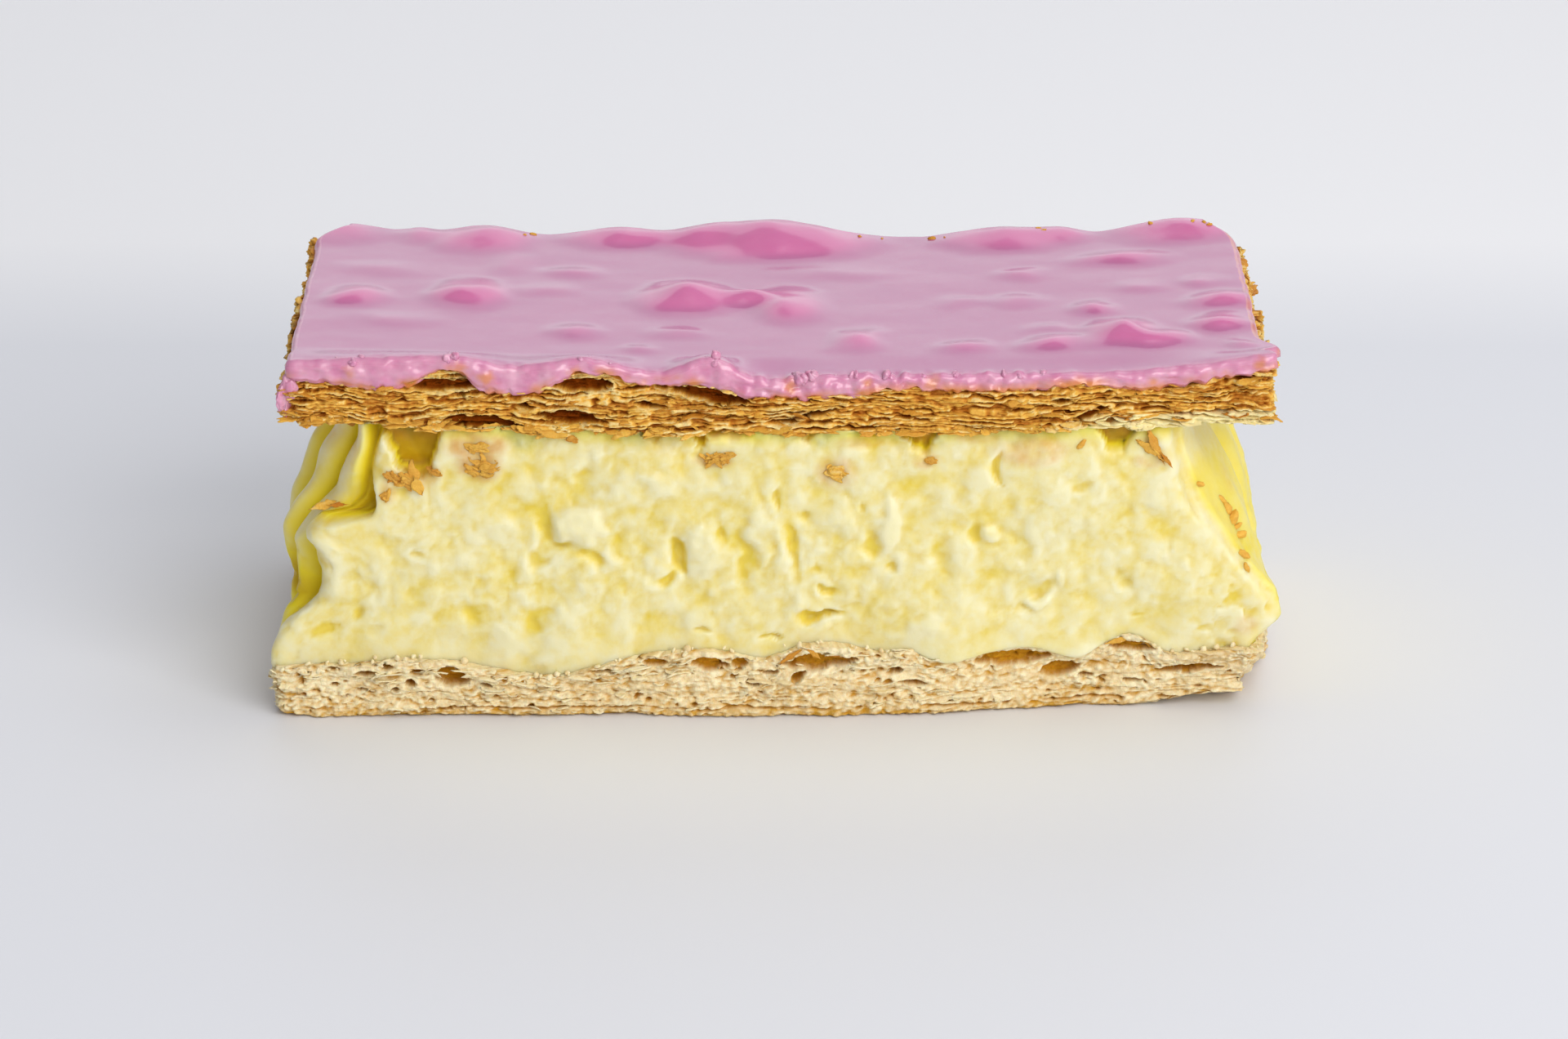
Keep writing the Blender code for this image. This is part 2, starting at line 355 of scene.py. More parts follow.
def find_wall(solid, rows, corner, steps, low, high, blur):
    """Points of a solid's side in rows, from the low line up to the high line, and the outward
    way at each. The lines are functions of a point's X and Y. The steps are those between the
    points of the front and of the other sides."""
    starts, ways = rim_rays(corner, *steps)
    height = np.linspace(0, 1, rows)[:, None]
    starts = np.broadcast_to(starts, (rows, *starts.shape)).copy()
    ways = np.broadcast_to(ways, starts.shape)
    points = starts + corner * ways
    # The rays keep off the wall's rounded upper and lower edges. The second round takes its
    # heights at the places that the first one found.
    for _ in range(2):
        bottom, top = solid.underside(points[..., 0]), solid.top(points[..., 0])
        starts[..., 2] = bottom + (top - bottom) * np.clip(height, 0.1, 0.93)
        reach = softened(solid.reach(starts, ways), *blur)
        points = starts + ways * reach[..., None]
    bottom, top = low(points[..., 0], points[..., 1]), high(points[..., 0], points[..., 1])
    points[..., 2] = bottom + (top - bottom) * height
    return points, ways


# Materials ----------------------------------------------------------------------------------


class Recipe:
    """A material as it is mixed, from short calls."""

    def __init__(self, name, **settings):
        self.finish = bpy.data.materials.new(name)
        self.finish.use_nodes = True
        self.nodes = self.finish.node_tree.nodes
        self.shader = self.nodes["Principled BSDF"]
        for key, number in settings.items():
            self.shader.inputs[key.replace("_", " ")].default_value = number

    def node(self, kind, output=0, choices=None, **sockets):
        """Adds a node and returns its output. A socket goes by its name, or by i and its number,
        and takes a number, a colour or an output."""
        made = self.nodes.new(kind)
        for key, choice in (choices or {}).items():
            setattr(made, key, choice)
        for key, value in sockets.items():
            socket = made.inputs[int(key[1:])] if key[1:].isdigit() else made.inputs[key]
            if isinstance(value, bpy.types.NodeSocket):
                self.finish.node_tree.links.new(value, socket)
            else:
                socket.default_value = value
        return made.outputs[output]

    def value(self, name):
        """A value stored at the piece's corners."""
        return self.node("ShaderNodeAttribute", "Fac", {"attribute_name": name})

    def place(self):
        return self.node("ShaderNodeTexCoord", "Object")

    def grain(self, size, detail=3.0, stretch=(1, 1, 1)):
        """Noise at a grain size, spread to run from 0 to 1."""
        at = self.place()
        if stretch != (1, 1, 1):
            at = self.node("ShaderNodeMapping", Vector=at, Scale=stretch)
        made = self.node("ShaderNodeTexNoise", Vector=at, Scale=1 / size, Detail=detail)
        return self.spread(made, 0.3, 0.7)

    def spread(self, value, low, high, least=0.0, most=1.0):
        """A value from low to high brought to run from least to most, and held there."""
        names = {"From Min": low, "From Max": high, "To Min": least, "To Max": most}
        return self.node("ShaderNodeMapRange", Value=value, **names)

    def sum(self, first, second):
        return self.node("ShaderNodeMath", i0=first, i1=second)

    def blend(self, share, first, second):
        """Two colours or outputs mixed."""
        sockets = {"i0": share, "i6": solid_colour(first), "i7": solid_colour(second)}
        return self.node("ShaderNodeMix", 2, {"data_type": "RGBA"}, **sockets)

    def set(self, **outputs):
        """Feeds outputs to the shader's sockets of these names."""
        for key, output in outputs.items():
            socket = self.shader.inputs[key.replace("_", " ")]
            self.finish.node_tree.links.new(output, socket)

    def relief(self, height, depth):
        """Fine relief in the shading alone."""
        names = {"Height": height, "Distance": depth, "Strength": 1.0}
        self.set(Normal=self.node("ShaderNodeBump", **names))


def solid_colour(value):
    """An output as it is, or a colour with nothing of it see-through."""
    return value if isinstance(value, bpy.types.NodeSocket) else (*tuple(value)[:3], 1.0)


# Settings -----------------------------------------------------------------------------------


def size_setting(name, description, millimetres):
    size = millimetres * MM
    return FloatProperty(name=name, description=description, default=size, unit="LENGTH")


def count_setting(name, description, count):
    return IntProperty(name=name, description=description, default=count, min=0)


def light_setting(name, description, power, unit="POWER"):
    return FloatProperty(name=name, description=description, default=power, min=0, unit=unit)


def colour_setting(name, description, *colour):
    return FloatVectorProperty(
        name=name, description=description, default=colour, size=3, subtype="COLOR"
    )


# Puff pastry --------------------------------------------------------------------------------


class PastrySettings(bpy.types.PropertyGroup):
    ply: size_setting("Ply", "Height of one ply", 0.42)
    ply_reach: size_setting("Ply reach", "How unevenly the plies end at a cut", 0.3)
    gap_depth: size_setting("Gap depth", "How far the gaps between plies go in", 1.1)
    crumb: size_setting("Crumb", "Depth of the crumb", 0.65)
    lid_flakes: count_setting("Lid flakes", "Loose plies round the lid, at two heights", 170)
    base_flakes: count_setting("Base flakes", "Loose plies round the base, at two heights", 100)
    base_crumbs: count_setting("Base crumbs", "Crumbs along the top of the base", 260)
    rear_crumbs: count_setting("Rear crumbs", "Crumbs of the lid on the icing's rear edge", 14)
    icing_crumbs: count_setting("Icing crumbs", "Broken icing along the lip", 48)
    brown: colour_setting("Brown crust", "Well baked pastry of the lid", 0.54, 0.185, 0.008)
    # Golden and straw crust are also the colours of the painted highlights on ply edges that stand out.
    golden: colour_setting("Golden crust", "Lightly baked pastry of the lid", 0.88, 0.50, 0.075)
    straw: colour_setting("Straw crust", "Raw pastry of the lid", 0.98, 0.84, 0.42)
    # Hollows: painted shade, dark brown, in the gaps and recesses between the lid's plies.
    hollow: colour_setting("Hollows", "Gaps between the lid's plies", 0.26, 0.055, 0.002)
    pale: colour_setting("Pale crust", "Pastry of the base", 0.96, 0.84, 0.54)
    toast: colour_setting("Toast of the base", "Baked underside of the base", 0.64, 0.35, 0.045)
    # Pores: the pores' own golden brown, and painted shade in the base's gaps, recesses and crack.
    pore: colour_setting("Pores of the base", "Holes and gaps in the base", 0.60, 0.29, 0.018)


class Hollow:
    """A gap that opened between plies at the front: its middle and half sizes in X and Z, the
    slope of its length, and how far in it goes."""

    def __init__(self, x, z, length, height, slope=0.0, depth=2.5):
        self.x, self.z, self.length, self.height = x * MM, z * MM, length * MM, height * MM
        self.slope, self.depth = slope, depth * MM

    def inside(self, points):
        """1 in the middle, 0 at the edge and less outside it."""
        x, z = points[..., 0] - self.x, points[..., 2] - self.z
        across = (z - self.slope * x) / self.height
        return 1 - (x / self.length) ** 2 - np.abs(across) ** 1.5

    def parting(self, points):
        """How far it pushes plies apart, up or down."""
        x, z = points[..., 0] - self.x, points[..., 2] - self.z
        across = z - self.slope * x
        share = np.exp(-((x / self.length) ** 2) - np.abs(across) / (1.3 * MM))
        return self.height * share * np.tanh(across / (0.2 * MM))


# How far apart plies are in the noise that tears them, so that each is torn on its own.
PLY_STEP = 41 * MM

# Radius that the rays of a pastry wall turn by at its corners, and the rows and columns over
# which the wall is smoothed, to find its outline and then its relief.
PASTRY_CORNER = 3 * MM
OUTLINE_BLUR = 6, 5
RELIEF_BLUR = 5, 4


def layers(points, hollows, seed):
    """Each point's height before the pastry warped and its hollows opened."""
    warp = 0.9 * MM * rough(points, (9 * MM, 9 * MM, 3 * MM), seed)
    warp += 0.22 * MM * noise(points, (2.2 * MM, 2.2 * MM, 1.2 * MM), seed + 3)
    warp += 0.15 * MM * noise(points, (0.9 * MM, 0.9 * MM, 0.6 * MM), seed + 17)
    for hollow in hollows:
        warp -= front_face(points[..., 1]) * hollow.parting(points)
    return points[..., 2] + warp


def laminate(points, settings, hollows, seed, share_of_plies=1.0):
    """How far each point of a cut edge stands out, how deep in a gap it is, and how much it
    stands out of its surroundings, both of these from 0 to 1: the first sets painted shade and
    the second painted highlights. With a small share of plies it is crumb more than plies."""
    x, y = points[..., 0], points[..., 1]
    at_front = front_face(y)
    layer = layers(points, hollows, seed) / settings.ply
    ply = np.stack([x, y, np.round(layer) * PLY_STEP], axis=-1)
    gap = np.stack([x, y, np.floor(layer) * PLY_STEP], axis=-1)
    from_gap = 2 * np.abs(layer - np.round(layer))
    ragged = noise(ply, (1.3 * MM, 1.3 * MM, MM), seed + 5)
    ragged += noise(ply, (0.45 * MM, 0.45 * MM, MM), seed + 6)
    torn_off = eased(noise(ply, (2.4 * MM, 2.4 * MM, MM), seed + 14), 0.1, 0.35)
    out = 0.7 * ragged - 2.2 * torn_off - 0.9 * from_gap**3
    out *= share_of_plies * settings.ply_reach
    out += 0.4 * MM * rough(points, (3 * MM, 3 * MM, 1.6 * MM), seed + 4)
    opening = noise(gap, (3.4 * MM, 3.4 * MM, MM), seed + 7)
    opening += 0.35 * noise(gap, (0.8 * MM, 0.8 * MM, MM), seed + 8)
    opening = share_of_plies * eased(opening, 0.2, 0.65)
    deep = opening * eased(from_gap, 0.35, 0.9)
    out -= settings.gap_depth * deep
    bent = points + 0.3 * MM * noise(points, 0.6 * MM, seed + 15)[..., None]
    crumbs = 0.55 - seed_distance(bent, (0.75 * MM, 0.75 * MM, 0.5 * MM), seed + 9)
    crumbly = 0.5 + 0.7 * rough(points, (5 * MM, 5 * MM, 2 * MM), seed + 16)
    out += settings.crumb * crumbs * np.clip(crumbly, 0, 1)
    torn = 0.5 * rough(points, (1.1 * MM, 1.1 * MM, 0.5 * MM), seed + 12)
    rows = np.linspace(0, 1, len(points))[:, None]
    within = eased(rows, 0, 0.02) * eased(1 - rows, 0, 0.06)
    for hollow in hollows:
        share = at_front * within * eased(hollow.inside(points) + torn, -0.15, 0.35)
        out -= hollow.depth * share
        deep = np.maximum(deep, share)
    # Points sunk below their surroundings get painted shade, and points that stand out painted
    # highlights.
    relief = out - softened(out, *RELIEF_BLUR)
    deep = np.maximum(deep, 0.85 * eased(-relief, 0.08 * MM, 0.5 * MM))
    return out, deep, eased(relief, -0.2 * MM, 0.4 * MM)


def crust(name, raw, pale, brown, hollow, streak=0.12):
    """Pastry: raw where its bake value is below 0, pale at 0, brown at 1, and dark with painted
    shade in its gaps. The bake value also holds painted highlights on edges that stand out.
    """
    mix = Recipe(
        name,
        IOR=1.45,
        Subsurface_Weight=0.12,
        Subsurface_Radius=(1.0, 0.5, 0.15),
        Subsurface_Scale=0.8 * MM,
    )
    streaks = mix.grain(2.2 * MM, 4, (1, 1, 4))
    patches = mix.grain(6 * MM, 2)
    specks = mix.grain(0.35 * MM, 2)
    # The stored bake value mixes real baking with painted highlights on edges that stand out.
    bake = mix.sum(mix.value("bake"), mix.spread(streaks, 0, 1, -streak, streak))
    bake = mix.sum(bake, mix.spread(patches, 0, 1, -0.14, 0.14))
    bake = mix.sum(bake, mix.spread(specks, 0, 1, -0.1, 0.1))
    colour = mix.blend(mix.spread(bake, 0, 1), pale, brown)
    colour = mix.blend(mix.spread(bake, 0, -0.6), colour, raw)
    # Painted shade: gaps and recesses take the hollow colour, and reflect less.
    colour = mix.blend(mix.value("gap"), colour, hollow)
    mix.set(Base_Color=colour, Roughness=mix.spread(specks, 0, 1, 0.5, 0.72))
    mix.set(Specular_IOR_Level=mix.spread(mix.value("gap"), 0, 1, 0.4, 0.05))
    mix.relief(mix.grain(0.22 * MM, 3), 0.05 * MM)
    return mix.finish


# Hollows in the base's front, in millimetres.
BASE_HOLLOWS = (
    Hollow(-53.8, 6.3, 0.5, 0.4),
    Hollow(-49.9, 5.6, 1.4, 0.4),
    Hollow(-47.4, 6.4, 0.9, 0.4),
    Hollow(-43.4, 5.7, 1.2, 0.4, 0.0, 1.5),
    Hollow(-39.4, 5.1, 2.3, 1.1, -0.1, 2.4),
    Hollow(-44.4, 4.3, 0.7, 0.45),
    Hollow(-46.3, 3.5, 0.5, 0.35),
    Hollow(-50.3, 3.5, 0.7, 0.3),
    Hollow(-53.6, 4.1, 0.5, 0.3),
    Hollow(-35.2, 4.2, 0.7, 0.3),
    Hollow(-21.2, 5.9, 1.2, 0.3),
    Hollow(-14.9, 7.0, 1.5, 0.5, 0.0, 1.2),
    Hollow(-8.3, 6.8, 2.1, 0.9, -0.1, 1.7),
    Hollow(-4.6, 6.9, 1.0, 0.6, 0.0, 1.5),
    Hollow(-0.9, 5.7, 1.0, 0.35),
    Hollow(-3.1, 4.4, 0.8, 0.5, -0.3),
    Hollow(2.4, 5.2, 0.9, 0.6, 0.5),
    Hollow(4.9, 7.1, 4.4, 1.0, 0.05, 1.8),
    Hollow(14.3, 5.9, 0.8, 0.5),
    Hollow(16.3, 4.2, 1.7, 0.4, -0.1),
    Hollow(28.4, 6.8, 4.6, 1.0, 0.03, 1.5),
    Hollow(34.3, 5.1, 2.6, 0.9, 0.15, 1.8),
    Hollow(37.4, 4.2, 1.0, 0.25),
    Hollow(43.0, 3.5, 1.2, 0.25),
    Hollow(43.2, 8.1, 2.9, 0.6, 0.0, 1.5),
    Hollow(50.0, 5.2, 4.0, 0.55, 0.05, 1.8),
)

# Top of the base along the front, where its crumb stands up before the custard.
BASE_TOP = smooth_line(
    (
        (-61.5, 6.3),
        (-54.5, 6.5),
        (-42.0, 7.1),
        (-37.0, 6.4),
        (-31.0, 5.4),
        (-25.7, 5.3),
        (-22.0, 6.4),
        (-15.3, 7.9),
        (-7.0, 8.2),
        (-1.0, 7.4),
        (3.2, 9.1),
        (8.0, 9.0),
        (12.6, 8.2),
        (16.0, 8.6),
        (20.0, 7.2),
        (26.0, 8.4),
        (30.0, 8.8),
        (37.0, 7.6),
        (40.0, 9.1),
        (44.0, 9.3),
        (46.5, 7.7),
        (50.0, 7.3),
        (56.0, 7.9),
        (61.5, 7.4),
    )
)

# How far the base's lumps stand out, and how far its round pores and its low crack go in.
GRAIN_HEIGHT = 0.7 * MM
PORE_DEPTH = 0.8 * MM
CRACK_DEPTH = 0.7 * MM

# How far the base's right corner curls up at the front.
CURL = 1.8 * MM


class PASTRY_OT_base(bpy.types.Operator):
    """Make the pale pastry base, porous and barely browned"""

    bl_idname = "pastry.base"
    bl_label = "Pastry base"

    def execute(self, context):
        settings = context.scene.pastry
        solid = Solid("pastry_base")

        def curl(x, y):
            return CURL * eased(x, 42 * MM, 55 * MM) * near_front(y)

        def low(x, y):
            return 0.32 * MM + 0.3 * MM * rough(on_plan(x, y), 5 * MM, 61) + curl(x, y)

        def high(x, y):
            front = near_front(y)
            level = solid.top(x) * (1 - front) + BASE_TOP(x) * front
            return level + 0.4 * MM * rough(on_plan(x, y), 1.5 * MM, 62)

        steps = 0.18 * MM, 0.5 * MM
        points, ways = find_wall(solid, 73, PASTRY_CORNER, steps, low, high, OUTLINE_BLUR)
        out, gap, edge = laminate(points, settings, BASE_HOLLOWS, 70, share_of_plies=0.18)
        hole, grains, crack = self.crumb(points)
        out += GRAIN_HEIGHT * grains - PORE_DEPTH * hole - CRACK_DEPTH * crack
        out += 0.35 * MM * rough(points, (1.1 * MM, 1.1 * MM, 0.9 * MM), 78)
        points += ways * out[..., None]
        # Painted shade: recesses, pores and the low crack are darkened towards the pore colour, which
        # is partly the pores' own golden brown.
        sunken = eased(softened(out, *RELIEF_BLUR) - out, 0.02 * MM, 0.36 * MM)
        gap = np.maximum.reduce([gap, 0.95 * hole, 0.8 * crack, 0.85 * sunken])
        points[..., 2] = np.maximum(points[..., 2], 0.02 * MM)
        bake = 0.36 + 0.45 * eased(-points[..., 2], -1.3 * MM, -0.3 * MM)
        # Painted highlights make edges that stand out paler, and lumps of crumb are paler than the
        # crumb between them.
        bake -= 0.25 * edge + 1.7 * grains
        points, faces, values = skin(points, curl, high, {"gap": gap, "bake": bake})
        shades = settings.pale, settings.pale, settings.toast, settings.pore
        finish = crust("pale_pastry", *shades, streak=0.06)
        mesh_piece("base_crumb", points, faces, finish, "pale_crust", "pastry_base", **values)
        return {"FINISHED"}

    def crumb(self, points):
        """Round pores, lumps of crumb, and a crack low in the wall, each as a share."""
        bent = points + 0.5 * MM * noise(points, 1.1 * MM, 77)[..., None]
        pore = seed_distance(bent, (1.7 * MM, 1.7 * MM, 1.0 * MM), 71)
        chance = rough(points, (4 * MM, 4 * MM, 2 * MM), 75)
        hole = eased(0.2 + 0.35 * chance - pore, 0.0, 0.12)
        grains = 0.45 - seed_distance(bent, (0.95 * MM, 0.95 * MM, 0.55 * MM), 73)
        grains *= 0.6 + 0.8 * rough(points, 2.5 * MM, 74)
        line = 1.15 * MM + 0.45 * MM * rough(points * (1, 1, 0), 4 * MM, 79)
        crack = bell(points[..., 2], line, 0.14 * MM)
        crack *= eased(noise(points * (1, 1, 0), 5 * MM, 76), -0.25, 0.1)
        return hole, grains, crack


# Bottom edge of the icing along the front, in millimetres.
LIP_BOTTOM = smooth_line(
    (
        (-60.0, 42.9),
        (-42.0, 42.8),
        (-40.0, 43.8),
        (-38.2, 43.7),
        (-36.5, 42.4),
        (-27.0, 42.0),
        (-25.0, 43.2),
        (-20.5, 43.4),
        (-16.0, 42.2),
        (-9.9, 42.4),
        (-3.3, 40.6),
        (9.0, 40.8),
        (14.0, 41.4),
        (29.0, 41.3),
        (36.7, 42.3),
        (42.0, 41.4),
        (54.1, 43.3),
        (58.9, 44.1),
        (60.6, 45.0),
    )
)

# Where the icing's flat top turns down at the front.
LIP_TOP = smooth_line(
    (
        (-60.0, 45.1),
        (-44.3, 45.7),
        (-37.7, 45.7),
        (-31.0, 44.6),
        (-23.1, 45.5),
        (-14.0, 43.9),
        (-7.3, 45.5),
        (-3.6, 43.6),
        (6.0, 43.5),
        (30.0, 43.7),
        (41.6, 43.9),
        (52.6, 45.2),
        (60.9, 46.5),
    )
)

# Hollows in the lid's front, in millimetres.
LID_HOLLOWS = (
    Hollow(-40.6, 42.1, 4.2, 0.8, 0.0, 1.4),
    Hollow(-23.0, 42.0, 3.5, 0.9, 0.0, 1.9),
    Hollow(-29.9, 39.5, 1.1, 0.35),
    Hollow(-25.1, 38.0, 4.0, 0.85, -0.1, 2.1),
    Hollow(-35.3, 37.1, 4.9, 1.3, -0.08, 1.7),
    Hollow(-20.0, 42.0, 0.5, 0.35),
    Hollow(-8.3, 40.8, 4.6, 0.9, -0.2, 2.0),
    Hollow(-15.2, 39.5, 1.9, 0.35, -0.1, 2.5),
    Hollow(4.5, 38.5, 2.6, 0.3, 0.2),
    Hollow(0.9, 37.4, 1.8, 0.3),
    Hollow(-13.5, 41.8, 0.9, 0.35),
    Hollow(33.6, 40.1, 1.2, 0.3),
    Hollow(37.4, 38.6, 2.0, 0.5, 0.35, 1.5),
    Hollow(48.2, 42.4, 3.1, 0.6, 0.15),
)

# The lid's rim at the ends, behind the icing, stands no higher than this.
HIGHEST_RIM = 46.2 * MM


class PASTRY_OT_lid(bpy.types.Operator):
    """Make the browned pastry lid, which stands up round the icing at its ends"""

    bl_idname = "pastry.lid"
    bl_label = "Pastry lid"

    def execute(self, context):
        settings = context.scene.pastry
        solid = Solid("pastry_lid")

        def low(x, y):
            return solid.underside(x) + 0.7 * MM * rough(on_plan(x, y), 2.6 * MM, 81)

        def high(x, y):
            front = near_front(y)
            end = eased(np.abs(x), 58.8 * MM, 59.6 * MM) * (1 - eased(-y, 16 * MM, 23 * MM))
            rim = 2.2 * MM + 1.5 * MM * rough(on_plan(x, y), 1.6 * MM, 82)
            level = solid.top(x) * (1 - front) + (LIP_BOTTOM(x) + 0.4 * MM) * front
            return np.minimum(level + rim * end, HIGHEST_RIM)

        steps = 0.17 * MM, 0.5 * MM
        points, ways = find_wall(solid, 74, PASTRY_CORNER, steps, low, high, OUTLINE_BLUR)
        out, gap, edge = laminate(points, settings, LID_HOLLOWS, 83)
        points += ways * out[..., None]
        height = points[..., 2] - solid.underside(points[..., 0])
        clean_end = eased(points[..., 0], 34 * MM, 46 * MM)
        unbaked = clean_end * (1 - eased(height, 0.8 * MM, 1.7 * MM))
        gap = gap * (1 - 0.75 * unbaked)
        bake = 0.94 - 2.2 * unbaked
        # The lowest plies are a little less baked, and edges that stand out get painted highlights,
        # paler up to straw.
        bake -= 0.12 * (1 - eased(height, 0, 1.5 * MM)) + 1.15 * edge
        points, faces, values = skin(
            points, lambda x, y: solid.underside(x), high, {"gap": gap, "bake": bake}
        )
        shades = settings.straw, settings.golden, settings.brown, settings.hollow
        finish = crust("brown_pastry", *shades)
        mesh_piece("lid_plies", points, faces, finish, "brown_crust", "pastry_lid", **values)
        return {"FINISHED"}


# Custard ------------------------------------------------------------------------------------


class CustardSettings(bpy.types.PropertyGroup):
    lump: size_setting("Lumps", "How far the curds stand out", 0.6)
    cream: colour_setting("Custard", "The curds and lobes", 0.875, 0.82, 0.525)
    # Creases: painted shade, a deeper yellow between the curds.
    crease: colour_setting("Creases", "Between the curds", 0.85, 0.68, 0.10)
    shade: colour_setting("Shaded piping", "In the folds of the piped ends", 0.88, 0.72, 0.03)
    # Hollows: painted shade, dark golden brown, in the gaps under the lid and the cave at the left end.
    hollow: colour_setting("Hollows", "Deep in the gaps under the lid", 0.50, 0.27, 0.004)
    foot: colour_setting("Smeared foot", "Where the knife smeared the lower edge", 0.84, 0.81, 0.56)
    # Buttery stains: real stains, and painted shade at the tops of the gaps under the lid.
    stain: colour_setting("Buttery stains", "Where butter and crumbs browned it", 0.72, 0.36, 0.07)


# Hollows under the lid between the piped ropes, in millimetres: the places along X of the top
# left, bottom left, bottom right and top right corners, and the height of the bottom.
NOTCHES = (
    (-48.2, -45.0, -41.6, -39.4, 30.4),
    (-16.7, -15.9, -13.9, -12.9, 34.9),
    (-10.6, -10.0, -8.8, -8.0, 33.4),
    (-9.0, -8.0, -4.6, -2.6, 35.0),
    (2.0, 2.8, 4.2, 5.0, 34.8),
    (10.0, 10.8, 12.2, 13.0, 35.8),
    (14.4, 15.8, 18.4, 19.9, 33.3),
    (20.2, 21.0, 23.2, 24.2, 36.0),
    (37.6, 39.4, 41.8, 43.9, 33.6),
)

# Lumps and dents in the cut custard, in millimetres: the middle in X and Z, half sizes, turn in
# degrees, height, and the share of the radius over which it rises.
FORMS = (
    (-24.3, 24.2, 3.0, 3.0, 0, 1.4, 0.4),
    (-20.5, 27.2, 4.0, 2.0, 15, 0.6, 0.8),
    (-28.0, 24.2, 1.2, 3.2, 0, -1.0, 0.8),
    (-28.6, 20.2, 1.5, 1.3, 0, -0.8, 0.8),
    (-26.4, 21.6, 1.1, 0.8, 0, -0.9, 0.7),
    (-22.8, 20.1, 2.8, 0.9, -20, -0.7, 0.8),
    (-11.6, 20.3, 0.9, 2.9, 10, -2.0, 0.6),
    (-12.9, 17.7, 1.3, 0.8, 30, -1.1, 0.7),
    (-8.8, 21.5, 2.3, 4.4, 0, 0.8, 0.7),
    (-14.6, 24.0, 3.0, 3.6, 0, -0.4, 1.0),
    (-19.0, 22.6, 1.6, 2.2, 0, -0.5, 0.9),
    (-4.3, 19.8, 1.3, 3.6, 0, -0.9, 0.9),
    (-6.3, 23.2, 0.8, 1.1, 0, -0.6, 0.8),
    (-2.5, 22.5, 1.2, 4.0, 0, 0.6, 0.9),
    (1.9, 21.5, 1.2, 3.6, 5, -1.2, 0.8),
    (-0.2, 21.0, 1.0, 4.5, 0, 0.6, 0.9),
    (0.7, 27.8, 0.5, 1.8, 0, -0.8, 0.8),
    (3.8, 25.2, 0.8, 0.6, 30, -0.6, 0.8),
    (2.4, 29.5, 1.5, 3.0, 0, 0.6, 0.9),
    (7.5, 25.5, 1.8, 2.2, 0, 0.6, 0.8),
    (11.8, 23.0, 1.6, 2.4, 0, -0.9, 0.8),
    (13.9, 25.0, 1.0, 4.0, 0, 0.7, 0.9),
    (10.6, 27.0, 0.7, 1.0, 0, -0.6, 0.8),
    (13.8, 18.8, 0.9, 0.9, 0, -0.8, 0.8),
    (19.3, 19.5, 1.8, 5.0, 0, -0.8, 1.0),
    (23.8, 22.7, 1.0, 2.0, 0, -0.9, 0.9),
    (25.8, 22.7, 1.3, 1.1, 0, 0.9, 0.6),
    (27.1, 31.6, 0.6, 2.4, 0, -1.1, 0.7),
    (30.5, 32.5, 2.8, 2.6, 0, 0.6, 0.8),
    (31.3, 16.6, 1.7, 1.3, 0, -0.9, 0.8),
    (30.7, 14.9, 1.4, 0.9, 0, 0.9, 0.6),
    (34.0, 17.3, 0.9, 1.6, 0, 0.7, 0.7),
    (29.2, 14.2, 0.7, 0.9, 0, -0.6, 0.8),
    (41.5, 17.0, 1.1, 1.1, 0, -0.6, 0.8),
    (36.8, 29.4, 1.2, 0.9, 0, -0.6, 0.8),
    (-44.0, 15.2, 2.2, 3.0, 0, -0.7, 1.0),
    (-36.5, 12.7, 2.0, 1.8, 0, -0.9, 1.0),
    (-29.0, 12.3, 3.2, 1.6, 10, -0.7, 0.9),
    (-51.0, 13.0, 1.3, 1.4, 0, -0.7, 0.9),
    (-48.0, 10.9, 1.4, 0.8, 0, -0.5, 0.9),
    (-43.0, 21.0, 1.1, 0.7, 0, -0.6, 0.8),
    (-23.3, 30.6, 1.5, 0.8, 0, -0.5, 0.9),
    (5.3, 18.5, 1.0, 0.7, 0, -0.5, 0.9),
    (5.6, 16.4, 1.2, 0.6, 0, -1.2, 0.7),
    (5.0, 12.8, 3.3, 0.75, 2, -2.2, 0.6),
    (-9.2, 10.2, 1.5, 0.45, 0, -0.9, 0.7),
    (-0.2, 10.4, 1.5, 0.45, 8, -0.9, 0.7),
    (44.0, 12.1, 1.2, 0.6, 0, -0.5, 0.8),
    (51.5, 9.9, 2.0, 0.4, 10, -0.6, 0.8),
    (-53.6, 20.0, 1.6, 6.5, -20, 0.6, 1.0),
)

# Creases between the piped lobes of an end, in millimetres behind the front cut. The left end
# has thin ones by the cut.
LEFT_CREASES = (3.4, 8.2, 12.6, 17.0, 24.0, 31.0, 39.0, 47.0, 55.4)
RIGHT_CREASES = (-16.0, 17.0, 24.5, 32.0, 39.5, 47.0, 54.5)

# The creases lean back by this share of the height over the break. There the cut face of the
# ends steps back on the left and on the right.
CREASE_LEAN = 0.06
BREAK_LEVEL = 25 * MM
LEFT_STEP = 4.0 * MM
RIGHT_STEP = 2.6 * MM

# Edges of the cut face at its ends, in millimetres: a height, and how far out the face goes.
LEFT_CUT = smooth_line(((24.0, 50.6), (25.6, 48.9), (31.0, 48.6), (37.0, 46.9)))
RIGHT_CUT = smooth_line(((22.0, 53.0), (25.5, 49.9), (31.0, 48.0), (37.0, 46.8)))

# Share of the forms' heights that the custard takes, as it is soft.
FORM_STRENGTH = 0.65

# How far the hollows under the lid go in, on the left and elsewhere.
LEFT_NOTCH_DEPTH = 2.6 * MM
NOTCH_DEPTH = 1.7 * MM

# The left end by the cut: a bulge under the lid, a ledge, a waist below it and a cave behind.
BULGE = 1.6 * MM
LEDGE = 3.0 * MM
WAIST = 1.9 * MM
CAVE_DEPTH = 1.2 * MM

